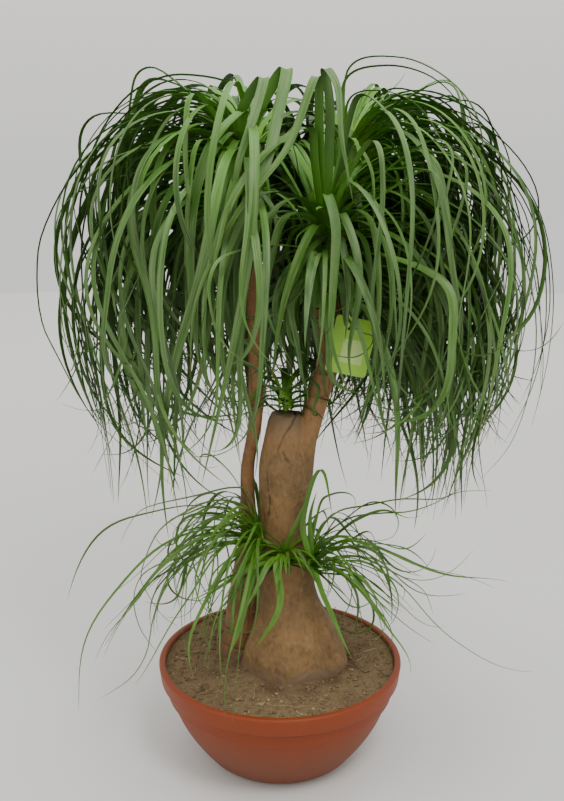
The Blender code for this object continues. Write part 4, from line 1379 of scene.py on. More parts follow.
@dataclass
class Blades:
    """Strap blades laid along their paths: closed, thin, channelled, with an atlas strip for each side."""

    stations: int = 26
    valley: float = 0.13
    thickness: float = 0.0007
    columns: int = 24
    skin: Skin = field(default_factory=Skin)
    strips: list[Row] = field(default_factory=list)

    def spread(self, path: np.ndarray) -> np.ndarray:
        """Shares along a path, closer where it bends."""
        steps = np.diff(path, axis=0)
        lengths = np.linalg.norm(steps, axis=1)
        headings = steps / lengths[:, None]
        turn = np.arccos(np.clip((headings[1:] * headings[:-1]).sum(1), -1.0, 1.0))
        weight = lengths / lengths.sum()
        weight[1:] += 0.45 * turn / max(1e-6, turn.sum()) * min(1.0, turn.sum() / 2.0)
        reached = np.concatenate([[0.0], np.cumsum(weight)])
        place = np.concatenate([[0.0], np.cumsum(lengths)]) / lengths.sum()
        return np.interp(np.linspace(0.0, reached[-1], self.stations + 1), reached, place)

    @staticmethod
    def width(share: np.ndarray) -> np.ndarray:
        """Width along a leaf as a share of its widest: a clasping base, a strap, then a long tail."""
        clasp = 0.95 * (1.0 - smoothstep(share / 0.05))
        body = 0.66 + 0.34 * smoothstep((share - 0.03) / 0.17)
        return clasp + body * (1.0 - np.clip((share - 0.30) / 0.70, 0.0, 1.0) ** 1.7) + 0.03

    def lay(self, leaf: Leaf, path: np.ndarray, tone: float) -> None:
        """Lay a blade along a path.

        Args:
            leaf: The leaf, for its width, twist and freshness.
            path: The points of its line.
            tone: Its own tone, from 0, deep, to 1, light.
        """
        lengths = np.concatenate([[0.0], np.cumsum(np.linalg.norm(np.diff(path, axis=0), axis=1))])
        lengths /= lengths[-1]
        share = self.spread(path)
        centre, ahead, behind = (
            np.stack([np.interp(place, lengths, path[:, axis]) for axis in range(3)], 1)
            for place in (np.clip(share + shift, 0.0, 1.0) for shift in (0.0, 0.012, -0.012))
        )
        tangent = ahead - behind
        tangent /= np.linalg.norm(tangent, axis=1)[:, None]
        azimuth = math.radians(leaf.azimuth) + leaf.drift * share**2
        side = np.stack([-np.sin(azimuth), np.cos(azimuth), np.zeros_like(azimuth)], 1)
        side -= tangent * (side * tangent).sum(1)[:, None]
        side /= np.linalg.norm(side, axis=1)[:, None]
        turn = (math.radians(leaf.twist) * share**1.3)[:, None]
        side = side * np.cos(turn) + np.cross(tangent, side) * np.sin(turn)
        up = np.cross(tangent, side)
        half = (leaf.width * self.width(share) / 2.0)[:, None]
        dip = half * 2.0 * self.valley * (1.0 + 1.6 * (1.0 - smoothstep(share / 0.10)))[:, None]
        thick = np.maximum(0.0004, self.thickness * (1.0 - 0.45 * share))[:, None]
        valley = centre - up * dip
        keel = centre - up * (dip + thick)
        rows = np.stack([centre + side * half, valley, centre - side * half, keel], 1)
        body = rows[:-1].reshape(-1, 3)
        tip = len(body)
        faces = [(0, 1, 3), (1, 2, 3)]
        under = [0.0, 0.0]
        for row in range(self.stations - 1):
            low = row * 4
            for first, second, below in BLADE_SIDES:
                faces.append((low + second, low + first, low + 4 + first, low + 4 + second))
                under.append(below)
        last = tip - 4
        for first, second, below in BLADE_SIDES:
            faces.append((last + second, last + first, tip))
            under.append(below)
        along = np.append(np.repeat(share[:-1], 4), 1.0)
        across = np.append(np.tile([1.0, 0.0, -1.0, 0.0], self.stations), 0.0)
        points = np.concatenate([body, centre[-1:]])
        self.skin.add(points, faces, tone=tone, along=along, across=across, fresh=leaf.fresh)
        self.skin.face_masks.setdefault("under", []).extend(under)
        for face, below in zip(faces, under):
            for corner in face:
                self.strips.append((len(self.skin.points) - 1, below, along[corner], across[corner]))

    def core(self, head: Head, slim: float) -> None:
        """The short core that the leaves grow from, slimmed to a share of the solid's."""
        shares = ((0.16, 0.86), (0.45, 1.0), (0.78, 0.86), (0.95, 0.45))
        tall = head.height * mixed(0.5, 1.0, slim)
        rising = [(head.core_radius * wide * slim, tall * high) for high, wide in shares]
        foot = head.foot_radius * slim
        low = [(0.0, 0.0, 0.0), (foot, 0.0, 0.002)]
        corners = [*low, *((*pair, 0.006) for pair in rising), (0.0, tall, 0.0)]
        points, faces = revolved(rounded(corners), 28)
        along = np.interp(points[:, 2] / tall, (0.0, 0.3), (0.04, 0.30))
        self.skin.add(points + head.foot, faces, tone=0.4, along=along, across=0.5, fresh=0.0)
        self.skin.face_masks.setdefault("under", []).extend([0.0] * len(faces))
        for face in faces:
            turns = [math.atan2(points[corner][1], points[corner][0]) / math.pi for corner in face]
            if max(turns) - min(turns) > 1.0:
                turns = [turn if turn > 0.0 else turn + 2.0 for turn in turns]
            for corner, turn in zip(face, turns):
                up = points[corner][2] / head.height
                self.strips.append((len(self.skin.points) - 1, 0.0, up, turn * 0.6 - 0.2))

    def atlas(self) -> list[Pair]:
        """Each face corner's place in the atlas: a strip for each side of each blade."""
        table = np.array(self.strips)
        strip = table[:, 0] * 2 + table[:, 1]
        rows = math.ceil((strip.max() + 1) / self.columns)
        column = strip % self.columns
        row = strip // self.columns
        u = (column + 0.5 + 0.42 * table[:, 3]) / self.columns
        v = (row + 0.04 + 0.92 * table[:, 2]) / rows
        return np.stack([u, v], 1).tolist()


@dataclass(frozen=True)
class Draped:
    """A draped leaf: its width, and the places that it passes after its root."""

    width: float
    places: tuple[Point, ...]


def hand_draped(*rows: tuple) -> tuple[Draped, ...]:
    """Draped leaves, from rows of a width and then places, all in millimetres."""
    return tuple(Draped(width / MILLIMETRES, metres(*places)) for width, *places in rows)


@dataclass(frozen=True)
class Crown:
    """A head of leaves as it is seen: leaves by the head's rule, and leaves draped along listed places."""

    piece: str
    head: Head
    slot: Slot
    dome: Dome
    fill: Pair | None = None
    stations: int = 38
    core: float = 1.0
    draped: tuple[Draped, ...] = ()
    tries: int = 9

    def fits(self, path: np.ndarray) -> bool:
        """Whether a path stays within the solids' box."""
        low, high = (np.array(corner) for corner in CAD_BOX)
        return bool((path > low - BOX_MARGIN).all() and (path < high + BOX_MARGIN).all())

    def fitted(self, leaf: Leaf, draw: random.Random) -> np.ndarray | None:
        """The leaf's line, with its reach changed until it comes as near the dome's skin as drawn."""
        stray = self.head.stray(leaf)
        if leaf.short or not self.fill:
            return self.head.path(leaf, stray)
        goal = mixed(*self.fill, draw.random() ** 0.5)
        highest = self.dome.highest - 0.035 * draw.random() ** 2
        trim = draw.random()
        for _ in range(self.tries):
            path = self.dome.trimmed(self.head.path(leaf, stray), random.Random(trim))
            if len(path) < SHORTEST_IN_DOME:
                return None
            fullness = self.dome.fullness(path)
            too_high = path[:, 2].max() > highest
            full = fullness > goal - NEAR_GOAL or leaf.reach > FAR_REACH
            if fullness <= goal + OVER_GOAL and full and not too_high:
                return path if self.fits(path) else None
            if too_high:
                leaf = replace(leaf, rise=leaf.rise - LOWERED_BY)
            step = min(1.3, max(0.7, goal / fullness))
            leaf = replace(leaf, reach=min(LONGEST_REACH, leaf.reach * step))
        near = fullness <= goal + OVER_GOAL_LAST
        return path if near and self.fits(path) and not too_high else None

    def line(self, leaf: Leaf, draw: random.Random) -> np.ndarray | None:
        """The line that a leaf is laid along, or none where there is no room for it."""
        path = self.fitted(leaf, draw)
        if path is None:
            return None
        path = self.head.curled(path, leaf, draw)
        if len(path) < SHORTEST_LINE or path[:, 2].max() > self.dome.highest:
            return None
        if not leaf.short:
            if self.fill and self.dome.fullness(path) > FULLEST:
                return None
            path = self.dome.cleared(path, draw)
        return path if path is not None and self.fits(path) else None

    def drape(self, blades: Blades, leaf: Draped) -> None:
        """Lay a leaf that is draped along listed places."""
        draw = random.Random(f"drape {leaf.places}")
        start = np.array(self.head.foot) + (0.0, 0.0, self.head.height * 0.6)
        line = spline(tuple((*place, 0.0) for place in (tuple(start), *leaf.places)), PATH_STEPS)[:, :3]
        away = line[PATH_STEPS * 2 // 3] - start
        azimuth = math.degrees(math.atan2(away[1], away[0]))
        twist = draw.uniform(-22.0, 22.0)
        laid = replace(self.head.leaf(0), azimuth=azimuth, drift=0.0, twist=twist, width=leaf.width)
        blades.lay(laid, line, mixed(0.15, 0.85, draw.random()))

    def build(self, material: bpy.types.Material) -> bpy.types.Object:
        """Lay the blades and dress them."""
        blades = Blades(stations=self.stations)
        blades.core(self.head, self.core)
        leaves = [self.head.leaf(number) for number in range(self.head.drawn)]
        leaves += [self.head.heart_leaf(number) for number in range(self.head.heart)]
        leaves += [self.head.collar_leaf(number) for number in range(self.head.collar)]
        laid = 0
        for number, leaf in enumerate(leaves):
            draw = random.Random(f"lay {self.head.name} {number}")
            path = self.line(leaf, draw)
            if path is not None:
                blades.lay(leaf, path, draw.random() ** 1.5)
                laid += 1
        for leaf in self.draped:
            self.drape(blades, leaf)
        LOG.info("%s: %d of %d leaves laid, %d draped", self.piece, laid, len(leaves), len(self.draped))
        blades.skin.corners = blades.atlas()
        piece = blades.skin.made(self.piece, 48.0)
        return dress(piece, material, self.slot, self.head.name)


@dataclass(frozen=True)
class HangTag:
    """A soft plastic plate, its strap and a loop round the right branch. It bears no words."""

    size: tuple[float, float, float] = (0.056, 0.0012, 0.078)
    corner: float = 0.004
    lean: float = 12.0
    centre: Point = (0.096, -0.034, 0.622)
    loop_at: Point = (0.0602, -0.008, 0.656)
    loop_radius: float = 0.0163
    loop_wire: float = 0.0013
    strap_from: Point = (0.0147, -0.007, 0.0)
    strap_to: Point = (0.002, 0.0, 0.0328)
    curl: float = 0.0022
    columns: int = 26
    rows: int = 36

    def plate(self) -> tuple[np.ndarray, Faces, np.ndarray]:
        """The plate: two grids with a rounded outline, joined round their edge, and a panel mask."""
        width, thick, tall = self.size
        grid_x = np.linspace(-1.0, 1.0, self.columns + 1)
        grid_z = np.linspace(-1.0, 1.0, self.rows + 1)
        across, up = np.meshgrid(grid_x, grid_z)
        x, z = across * width / 2, up * tall / 2
        over_x = np.maximum(0.0, np.abs(x) - (width / 2 - self.corner))
        over_z = np.maximum(0.0, np.abs(z) - (tall / 2 - self.corner))
        reach = np.maximum(1e-9, np.hypot(over_x, over_z))
        pull = np.where((over_x > 0) & (over_z > 0), np.maximum(over_x, over_z) / reach, 1.0)
        x -= np.sign(x) * over_x * (1.0 - pull)
        z -= np.sign(z) * over_z * (1.0 - pull)
        bow = -self.curl * (1.0 - (z / (tall / 2)) ** 2) + self.curl * 0.5 * (x / (width / 2)) ** 2
        panel = ((np.abs(across - 0.1) < 0.55) & (np.abs(up + 0.15) < 0.42)).astype(float)
        front = np.stack([x, bow - thick / 2, z], 2).reshape(-1, 3)
        back = np.stack([x, bow + thick / 2, z], 2).reshape(-1, 3)
        wide = self.columns + 1
        count = len(front)
        faces = []
        for row in range(self.rows):
            for column in range(self.columns):
                low = row * wide + column
                face = (low, low + 1, low + wide + 1, low + wide)
                faces += [face, tuple(count + corner for corner in face[::-1])]
        ring = [*range(wide), *(row * wide + self.columns for row in range(1, self.rows + 1))]
        ring += [self.rows * wide + column for column in range(self.columns - 1, -1, -1)]
        ring += [row * wide for row in range(self.rows - 1, 0, -1)]
        for first, second in zip(ring, ring[1:] + ring[:1]):
            faces.append((second, first, first + count, second + count))
        return np.concatenate([front, back]), faces, np.concatenate([panel.ravel(), np.zeros(count)])

    def build(self, material: bpy.types.Material) -> bpy.types.Object:
        """Make the tag with its strap and loop, and dress it."""
        points, faces, panel = self.plate()
        lean = math.radians(self.lean)
        across, up = math.cos(lean), math.sin(lean)
        turn = np.array([[across, 0.0, -up], [0.0, 1.0, 0.0], [up, 0.0, across]])
        skin = Skin()
        skin.add(points @ turn + self.centre, faces, panel=panel)
        angles = np.linspace(0.0, 2.0 * math.pi, 41)[:-1]
        ring = np.stack([np.cos(angles), np.sin(angles), 0.0 * angles], 1) * self.loop_radius + self.loop_at
        skin.add(*closed_ring(ring, np.array(self.loop_at), self.loop_wire, 10), panel=0.0)
        start = np.array(self.loop_at) + self.strap_from
        end = np.array(self.centre) + self.strap_to
        steps = np.linspace(0.0, 1.0, 10)[:, None]
        line = start + (end - start) * steps
        line[:, 1] -= 0.002 * np.sin(math.pi * steps[:, 0])
        skin.add(*tube(line, np.full(10, self.loop_wire * 1.15), 10), panel=0.0)
        return dress(skin.made("hang_tag", 40.0), material, Slot.TAG_PLASTIC, "label")


def closed_ring(line: np.ndarray, middle: np.ndarray, wire: float, sides: int) -> Shell:
    """A level ring of wire.

    Args:
        line: The points round its middle line.
        middle: Its centre.
        wire: The wire's radius.
        sides: How many sides the wire has.

    Returns:
        The points and the faces.
    """
    out = line - middle
    out /= np.linalg.norm(out, axis=1)[:, None]
    angles = np.arange(sides) * 2.0 * math.pi / sides
    rise = np.stack([np.zeros(sides), np.zeros(sides), np.sin(angles)], 1)
    points = line[:, None] + wire * (out[:, None] * np.cos(angles)[None, :, None] + rise[None])
    count = len(line)
    faces = []
    for row in range(count):
        low = row * sides
        high = (row + 1) % count * sides
        for step in range(sides):
            after = (step + 1) % sides
            faces.append((low + step, high + step, high + after, low + after))
    return points.reshape(-1, 3), faces


@dataclass(frozen=True)
class Studio:
    """The plain pale floor, the soft lights and the camera at the photograph's view."""

    camera_at: Point = EYE
    pitch: float = 13.37
    lens: float = 42.7
    floor_radius: float = 6.0
    floor_depth: float = 0.02
    sky: Colour = (1.10, 1.08, 1.03)
    low_sky: Colour = (0.84, 0.83, 0.81)
    sky_strength: float = 1.05
    lamps: tuple[tuple[str, Point, Point, float, float], ...] = (
        ("key", (0.60, -1.30, 2.5), (0.0, 0.0, 0.60), 0.8, 32.0),
        ("fill", (-1.9, -1.1, 1.3), (0.0, 0.0, 0.55), 1.4, 4.0),
        ("top", (-0.1, 0.2, 2.6), (0.0, 0.0, 0.70), 1.6, 20.0),
    )

    def build_floor(self) -> None:
        """The floor."""
        skin = Skin()
        skin.add(*disc(self.floor_radius, -self.floor_depth, 0.0, 96))
        floor = skin.made("floor")
        floor.data.materials.append(PaleFloor().material())

    def build_lights(self) -> None:
        """The pale surroundings and the lamps."""
        world = bpy.data.worlds.new("studio")
        world.use_nodes = True
        nodes = world.node_tree.nodes
        background = nodes["Background"]
        background.inputs["Strength"].default_value = self.sky_strength
        spot = nodes.new("ShaderNodeTexCoord")
        height = nodes.new("ShaderNodeSeparateXYZ")
        ramp = nodes.new("ShaderNodeValToRGB")
        stops = ((0.0, self.low_sky), (0.24, self.sky))
        for element, (place, colour) in zip(ramp.color_ramp.elements, stops):
            element.position = place
            element.color = rgba(colour)
        for source, target in (
            (spot.outputs["Generated"], height.inputs[0]), (height.outputs["Z"], ramp.inputs[0]),
            (ramp.outputs[0], background.inputs["Color"]),
        ):
            world.node_tree.links.new(source, target)
        bpy.context.scene.world = world
        for name, at, aim, size, power in self.lamps:
            light = bpy.data.lights.new(name, "AREA")
            light.shape = "DISK"
            light.size = size
            light.energy = power
            lamp = bpy.data.objects.new(name, light)
            lamp.location = at
            lamp.rotation_euler = (Vector(aim) - Vector(at)).to_track_quat("-Z", "Y").to_euler()
            bpy.context.scene.collection.objects.link(lamp)

    def build_camera(self) -> None:
        """The camera."""
        data = bpy.data.cameras.new("camera")
        data.lens = self.lens
        data.sensor_width = 36.0
        camera = bpy.data.objects.new("camera", data)
        camera.location = self.camera_at
        camera.rotation_euler = (math.radians(90.0 - self.pitch), 0.0, 0.0)
        bpy.context.scene.collection.objects.link(camera)
        bpy.context.scene.camera = camera

    def build(self) -> None:
        """Set the studio up."""
        self.build_floor()
        self.build_lights()
        self.build_camera()


# A stem's stations are (x, y, z, radius) in millimetres
TRUNK = Stem(
    stations=metres(
        (18, 4, 70, 50), (19, 4, 100, 70), (20, 3, 135, 77), (21, 3, 160, 74), (18, 4, 195, 60),
        (14, 4, 230, 47), (11, 4, 265, 39), (7, 3, 310, 34.5), (4, 2, 360, 33.5), (5, 0, 410, 35),
        (8, 0, 450, 38), (8, 0, 485, 31), (9, 1, 512, 25), (9, 2, 522, 20),
    ),
    lobes=((3, 0.055, 0.6), (5, 0.035, 2.1), (8, 0.018, 4.0)),
)
BRANCH_RIGHT = Stem(
    stations=metres(
        (16, 0, 425, 18), (30, -3, 465, 17.5), (45, -6, 510, 14.5), (56, -8, 552, 15), (67, -8, 600, 14.5),
        (64, -8, 632, 14), (60, -8, 650, 14), (60, -8, 661, 14.5), (60, -8, 672, 15),
    ),
    sides=48,
    rings=110,
)
BRANCH_BACK = Stem(
    stations=metres(
        (16, 6, 430, 17), (32, 22, 480, 14), (52, 36, 540, 13), (68, 44, 600, 13), (82, 54, 670, 12),
        (92, 62, 730, 12), (94, 64, 760, 12.5), (94, 64, 775, 13), (94, 64, 790, 13),
    ),
    sides=48,
    rings=140,
)
COLLAR = Stem(
    stations=metres(
        (12, 2, 395, 32), (19, 0, 430, 29), (28, -2, 460, 22), (37, -4, 490, 16.5), (44, -6, 508, 14),
    ),
    sides=48,
    rings=60,
)
SIDE_STEM = Stem(
    stations=metres(
        (-60, 26, 80, 20), (-60, 26, 110, 29), (-58, 26, 145, 32), (-53, 24, 200, 30), (-48, 22, 250, 27),
        (-44, 18, 300, 21), (-44, 14, 340, 14), (-46.5, 10, 390, 10.5), (-46, 6, 440, 9.5),
        (-36, 4, 500, 9.5), (-34, 2, 550, 10.5), (-34, 0, 600, 9.5), (-36, 2, 680, 9.5),
        (-40, 6, 745, 10.5), (-42, 8, 785, 12),
    ),
    lobes=((3, 0.05, 1.0), (4, 0.04, 0.3)),
    sides=56,
    rings=260,
)

TRUNK_CRACKS = (
    ((0.026, 0.531), (0.018, 0.512), (0.006, 0.496), (-0.003, 0.476)),
    ((0.004, 0.474), (0.009, 0.464), (0.020, 0.453)),
    ((-0.018, 0.440), (-0.014, 0.400), (-0.017, 0.372)),
)
STEM_POSTS = (
    Post((0.010, 0.002), 0.058, 0.10, 0.56),
    Post((-0.037, 0.006), 0.022, 0.40, 0.80),
    Post((0.062, -0.008), 0.027, 0.50, 0.69),
    Post((0.076, 0.048), 0.026, 0.50, 0.80),
    Post((0.098, -0.034), 0.036, 0.57, 0.68),
)
CANOPY = {
    "height": 0.120,
    "core_radius": 0.023,
    "foot_radius": 0.013,
    "reach": (0.16, 0.28),
    "length": (0.56, 0.84),
    "rise": (0.0, 80.0),
    "fall": (-84.0, -122.0),
    "width": (0.0055, 0.0150),
    "posts": STEM_POSTS,
}
HEAD_LEFT = Head(
    name="head_left", foot=(-0.042, 0.008, 0.7853), drawn=380, facing=172.0, gather=0.64,
    heart=12, collar=24, front_share=0.24, **CANOPY,
)
HEAD_BACK = replace(
    HEAD_LEFT, name="head_back", foot=(0.094, 0.064, 0.7903), drawn=330, facing=22.0, gather=0.58,
    heart=10, collar=16, width=(0.0045, 0.0120), sway=0.28, curl=84.0,
)
HEAD_RIGHT = replace(
    HEAD_LEFT, name="head_right", foot=(0.060, -0.008, 0.6723), height=0.135, core_radius=0.022,
    foot_radius=0.0155, drawn=310, facing=-6.0, gather=0.70, heart=32, collar=34, rise=(-14.0, 78.0),
    front_share=0.30,
)
HEAD_MIDDLE = Head(
    name="head_middle", foot=(0.008, 0.004, 0.5229), height=0.032, core_radius=0.013, foot_radius=0.012,
    drawn=26, reach=(0.04, 0.08), length=(0.09, 0.15), rise=(18.0, 74.0), fall=(-10.0, -80.0),
    width=(0.0075, 0.0115), tips_above=(0.515, 0.525), twist=40.0, curl=15.0, drift=0.4,
)
SHOOT = {
    "height": 0.020,
    "core_radius": 0.009,
    "foot_radius": 0.008,
    "rise": (10.0, 84.0),
    "fall": (-20.0, -130.0),
    "width": (0.0032, 0.0062),
    "tips_above": (0.13, 0.02),
    "sway": 0.20,
    "curl": 70.0,
    "drift": 0.6,
    "twist": 160.0,
    "folded": 0.1,
}
SHOOT_LEFT = Head(
    name="shoot_left", foot=(-0.0260, -0.0160, 0.322), drawn=70, facing=184.0, gather=0.50,
    reach=(0.09, 0.21), length=(0.20, 0.42), **{**SHOOT, "tips_above": (0.25, 0.14)},
)
SHOOT_CENTRE = Head(
    name="shoot_centre", foot=(0.0080, -0.0355, 0.306), drawn=40, facing=262.0, gather=0.70,
    reach=(0.03, 0.10), length=(0.08, 0.20),
    **{**SHOOT, "width": (0.0045, 0.0080), "tips_above": (0.28, 0.20)},
)
SHOOT_RIGHT = Head(
    name="shoot_right", foot=(0.0424, -0.0178, 0.292), drawn=62, facing=-4.0, gather=0.55,
    reach=(0.06, 0.19), length=(0.16, 0.38), **{**SHOOT, "tips_above": (0.25, 0.14)},
)

# Leaves draped over the front, in millimetres: a width, then places on the leaf after its root
DRAPED_RIGHT = hand_draped(
    (13.5, (50, -50, 900), (45, -75, 965), (10, -110, 880), (-52, -150, 800), (-100, -160, 700),
     (-110, -150, 600)),
    (13.5, (45, -45, 860), (36, -60, 905), (-20, -110, 870), (-62, -150, 805), (-90, -160, 700),
     (-88, -150, 560)),
    (12.5, (64, -40, 920), (56, -50, 975), (70, -90, 950), (75, -110, 890), (90, -120, 810)),
    (12, (85, -30, 900), (105, -50, 945), (145, -90, 900), (160, -110, 820), (162, -110, 740)),
    (9.5, (75, -40, 840), (90, -70, 885), (113, -100, 850), (116, -110, 770)),
    (12.5, (62, -45, 810), (61, -75, 822), (70, -100, 780), (66, -115, 700), (66, -115, 640),
     (90, -105, 570)),
    (11.5, (72, -50, 790), (80, -80, 798), (96, -110, 750), (98, -120, 700), (88, -110, 630),
     (94, -100, 580)),
    (10.5, (68, -50, 770), (78, -90, 765), (86, -110, 700), (82, -110, 640)),
    (13, (40, -50, 795), (6, -90, 795), (-12, -110, 740), (-22, -120, 660), (-14, -110, 590)),
    (13.5, (50, -50, 785), (32, -90, 765), (10, -120, 710), (-3, -120, 650), (-10, -110, 590)),
    (12, (55, -50, 765), (35, -80, 750), (10, -100, 700), (-4, -100, 655)),
    (13, (35, -50, 815), (-6, -100, 805), (-35, -130, 735), (-52, -130, 650)),
    (12, (30, -45, 815), (-25, -90, 822), (-50, -120, 760), (-55, -130, 660), (-50, -120, 590)),
    (13, (25, -50, 800), (-35, -110, 790), (-65, -140, 730), (-72, -140, 640), (-60, -130, 565),
     (-45, -120, 530)),
    (11, (80, -45, 800), (115, -80, 790), (125, -105, 700), (118, -105, 600), (100, -95, 520)),
    (10, (85, -40, 790), (130, -75, 770), (142, -95, 680), (122, -95, 580), (85, -85, 500)),
    (8.5, (80, -40, 780), (110, -75, 760), (120, -95, 660), (130, -95, 560), (150, -85, 480)),
)
DRAPED_LEFT = hand_draped(
    (15, (-50, -30, 900), (-48, -50, 925), (-85, -100, 880), (-105, -130, 800), (-108, -130, 700),
     (-95, -120, 600), (-50, -105, 530)),
    (10, (-60, -40, 900), (-100, -100, 830), (-110, -120, 700), (-78, -110, 590), (-40, -95, 515)),
    (8.5, (-50, -50, 880), (-80, -100, 790), (-82, -115, 670), (-50, -100, 570), (-32, -90, 500)),
    (11, (-55, -40, 890), (-72, -90, 820), (-70, -110, 700), (-48, -100, 590), (-30, -90, 500),
     (-34, -85, 450)),
    (10, (-50, -45, 870), (-60, -90, 780), (-58, -105, 660), (-60, -100, 560), (-52, -90, 480)),
    (9, (-60, -30, 880), (-95, -80, 780), (-92, -95, 650), (-66, -90, 540), (-50, -80, 460)),
    (13, (-50, -30, 920), (-20, -60, 965), (-30, -90, 920), (-52, -110, 850), (-60, -120, 760)),
    (15, (-30, -30, 920), (8, -50, 977), (-2, -80, 920), (-20, -110, 850), (-60, -140, 760),
     (-85, -150, 660)),
    (13.5, (-80, -20, 920), (-130, -50, 925), (-170, -80, 850), (-180, -90, 740), (-170, -80, 620)),
    (10, (-45, 0, 950), (-124, 0, 974), (-185, -10, 955), (-228, -10, 910), (-257, -10, 850),
     (-282, -10, 775), (-289, -10, 690)),
    (8, (-60, -10, 935), (-118, -20, 952), (-183, -20, 935), (-239, -20, 878), (-268, -20, 815),
     (-292, -20, 735), (-300, -10, 640)),
    (7.5, (-100, 10, 930), (-190, 10, 925), (-270, 0, 853), (-318, 0, 775), (-330, 0, 715),
     (-325, -10, 655), (-305, -20, 610), (-258, -30, 525), (-185, -40, 455)),
)
DRAPED_BACK = hand_draped(
    (9.5, (90, 40, 982), (157, 30, 999), (222, 20, 970), (263, 10, 915), (271, 0, 825), (262, -10, 750)),
    (8.5, (85, 30, 965), (140, 20, 987), (205, 10, 968), (250, 0, 912), (262, 0, 840)),
    (6, (90, 20, 940), (130, 10, 955), (180, 0, 935), (215, -10, 880), (225, -10, 810)),
    (8, (140, 20, 955), (222, 0, 930), (290, -10, 865), (345, -10, 788), (366, -10, 695), (360, -10, 612),
     (330, -20, 535)),
    (8, (120, 30, 885), (170, 10, 895), (230, -10, 875), (292, -20, 805), (340, -20, 730), (350, -20, 660)),
    (7.5, (120, 20, 930), (200, 5, 935), (285, -5, 880), (345, -10, 800), (370, -10, 700), (369, -10, 600),
     (352, -15, 510)),
    (7, (130, 30, 900), (215, 10, 915), (300, 0, 850), (350, -5, 760), (363, -10, 650), (348, -15, 560),
     (310, -25, 480)),
    (7.5, (120, 0, 870), (200, -20, 890), (280, -25, 840), (335, -30, 745), (352, -30, 640),
     (357, -25, 560)),
    (7, (120, 10, 850), (210, -20, 860), (295, -30, 790), (338, -30, 690), (345, -30, 590), (322, -30, 490),
     (275, -35, 430)),
    (6.5, (110, 20, 910), (190, 0, 905), (270, -10, 850), (325, -15, 765), (352, -15, 670), (362, -15, 575),
     (348, -20, 500)),
)
# Low leaves draped beside the trunk, written the same way
DRAPED_LOW_LEFT = hand_draped(
    (6.5, (-44, -40, 394), (-86, -50, 410), (-127, -55, 396), (-169, -60, 366), (-194, -60, 306),
     (-188, -60, 278), (-165, -60, 240), (-139, -60, 222)),
    (7, (-48, -35, 350), (-90, -45, 368), (-127, -50, 366), (-150, -55, 349)),
    (6.5, (-58, -30, 350), (-100, -45, 350), (-140, -55, 328), (-175, -60, 316), (-197, -60, 297),
     (-206, -60, 263), (-197, -60, 219), (-172, -60, 180)),
    (7, (-40, -35, 410), (-64, -40, 425), (-118, -50, 416), (-186, -55, 400), (-211, -55, 372),
     (-222, -55, 345)),
    (6, (-70, -40, 345), (-127, -55, 321), (-175, -60, 297), (-210, -65, 255), (-243, -65, 215),
     (-266, -65, 170)),
    (6, (-70, -30, 370), (-118, -50, 349), (-158, -60, 297), (-179, -65, 237), (-190, -65, 185),
     (-215, -65, 145), (-262, -65, 112)),
    (11, (-32, -50, 335), (-38, -65, 310), (-46, -72, 275), (-56, -75, 230), (-75, -75, 180)),
    (9.5, (-35, -45, 340), (-50, -60, 316), (-65, -68, 279), (-89, -70, 250)),
    (7, (-45, -40, 370), (-75, -55, 365), (-110, -62, 330), (-120, -68, 280)),
)
DRAPED_LOW_CENTRE = hand_draped(
    (10.5, (2, -50, 330), (-4, -70, 318), (1, -80, 284), (-4, -82, 254), (-22, -82, 222), (-36, -80, 200)),
    (9, (10, -48, 345), (16, -60, 365), (30, -66, 400), (42, -66, 420)),
    (8.5, (0, -48, 345), (-12, -58, 360), (-30, -66, 380), (-55, -70, 385)),
)
DRAPED_LOW_RIGHT = hand_draped(
    (6.5, (50, -40, 351), (78, -48, 391), (121, -52, 403), (166, -55, 413), (217, -55, 413),
     (250, -55, 424), (294, -55, 425)),
    (7, (51, -40, 342), (93, -48, 381), (135, -52, 391), (178, -55, 395), (217, -55, 409), (259, -55, 437)),
    (6, (50, -35, 335), (71, -45, 354), (103, -52, 356), (121, -55, 342), (113, -60, 326)),
    (6.5, (52, -35, 345), (82, -45, 373), (121, -52, 406), (150, -55, 403), (164, -58, 381),
     (154, -60, 358), (117, -60, 352)),
    (6, (55, -40, 310), (78, -50, 324), (113, -55, 327), (164, -60, 304), (202, -60, 279), (217, -60, 242)),
    (6, (55, -42, 306), (89, -55, 322), (124, -60, 320), (154, -62, 297), (166, -65, 270), (161, -65, 237),
     (140, -65, 215)),
    (6.5, (55, -42, 302), (82, -55, 309), (113, -60, 301), (131, -65, 278), (140, -65, 240),
     (150, -65, 203)),
    (6, (58, -40, 298), (106, -52, 297), (135, -58, 275), (175, -60, 245)),
    (9.5, (50, -42, 300), (60, -60, 275), (76, -68, 240), (86, -70, 215), (102, -70, 180)),
    (8, (40, -45, 330), (32, -55, 380), (47, -58, 445), (61, -58, 450), (72, -58, 390)),
    (8, (44, -42, 335), (42, -50, 385), (51, -55, 425)),
    (6, (56, -40, 320), (75, -50, 319), (74, -58, 290), (64, -62, 264)),
)
WINDOWS = (
    Window(0.012, 0.066, 0.785, 0.880, 0.92, trims=False), Window(0.062, 0.112, 0.570, 0.630, 0.70),
    Window(-0.020, 0.072, 0.400, 0.545, 0.93), Window(0.030, 0.082, 0.530, 0.600, 0.85),
    Window(-0.020, 0.085, 0.130, 0.270, 0.85),
)
TAN_BARK = Bark(
    "tan_bark", body=(0.152, 0.090, 0.036), warm=(0.216, 0.124, 0.047), pale=(0.305, 0.198, 0.098),
)
RED_BARK = Bark(
    "red_bark", body=(0.130, 0.064, 0.026), warm=(0.200, 0.104, 0.038), pale=(0.270, 0.155, 0.068),
)
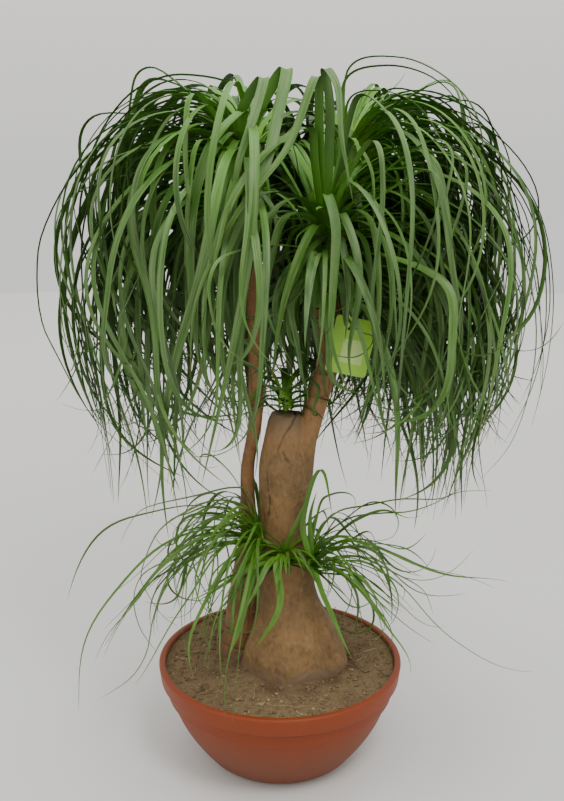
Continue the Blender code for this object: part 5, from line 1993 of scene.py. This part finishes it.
STRAP_LEAF = LeafSkin(
    "strap_leaf",
    deep=(0.020, 0.073, 0.004),
    fresh=(0.046, 0.140, 0.006),
    # The painted sheen's pale grey-green
    painted_sheen=(0.125, 0.200, 0.064),
    under=(0.036, 0.090, 0.010),
)
YOUNG_LEAF = LeafSkin(
    "young_leaf",
    deep=(0.026, 0.094, 0.003),
    fresh=(0.070, 0.190, 0.008),
    # The painted sheen's pale grey-green
    painted_sheen=(0.125, 0.240, 0.035),
    under=(0.048, 0.120, 0.010),
    base=(0.160, 0.300, 0.030),
)


def main() -> None:
    """Build the plant from the pot up, then the studio."""
    logging.basicConfig(level=logging.INFO, format="%(name)s %(relativeCreated)d ms: %(message)s")
    # Without a seed, vector noise takes its offsets from the clock
    noise.seed_set(NOISE_SEED)
    pot = BowlPot()
    pot.build(TerracottaPlastic().material())
    soil = PottingSoil(pot)
    feet = [TRUNK, SIDE_STEM]
    soil.build_surface(PottingMix().material())
    soil.build_crumbs(Crumbs().material(), feet)
    soil.build_rootlets(RootFibre().material(), feet)
    WoodyPlant(
        "swollen_trunk", "trunk_main", Slot.BARK, (TRUNK, BRANCH_RIGHT, BRANCH_BACK, COLLAR),
        voxel=0.0017, soften=12, dead_above=0.480, cracks=TRUNK_CRACKS,
    ).build(TAN_BARK.material())
    WoodyPlant(
        "side_trunk", "trunk_side", Slot.REDDISH_BARK, (SIDE_STEM,), voxel=0.0012, soften=2, lumps=0.0009,
        rough_foot=2.5, ringed=True, notches=((0.160, 0.0022), (0.185, 0.0024), (0.250, 0.0016)),
    ).build(RED_BARK.material())
    leaf_skin = STRAP_LEAF.material()
    young_skin = YOUNG_LEAF.material()
    dome = Dome(WINDOWS)
    for name, head, fill, core, draped in (
        ("canopy_left", HEAD_LEFT, (0.76, 1.04), 1.0, DRAPED_LEFT),
        ("canopy_back", HEAD_BACK, (0.80, 1.03), 1.0, DRAPED_BACK),
        ("canopy_right", HEAD_RIGHT, (0.80, 1.03), 0.95, DRAPED_RIGHT),
    ):
        Crown(name, head, Slot.LEAF, dome, fill, core=core, draped=draped).build(leaf_skin)
    Crown("young_head", HEAD_MIDDLE, Slot.YOUNG_LEAF, dome, stations=18, core=0.35).build(young_skin)
    for name, head, draped in (
        ("tuft_left", SHOOT_LEFT, DRAPED_LOW_LEFT),
        ("tuft_centre", SHOOT_CENTRE, DRAPED_LOW_CENTRE),
        ("tuft_right", SHOOT_RIGHT, DRAPED_LOW_RIGHT),
    ):
        Crown(name, head, Slot.YOUNG_LEAF, dome, stations=26, core=0.5, draped=draped).build(young_skin)
    HangTag().build(TagPlastic().material())
    Studio().build()


if __name__ == "__main__":
    main()
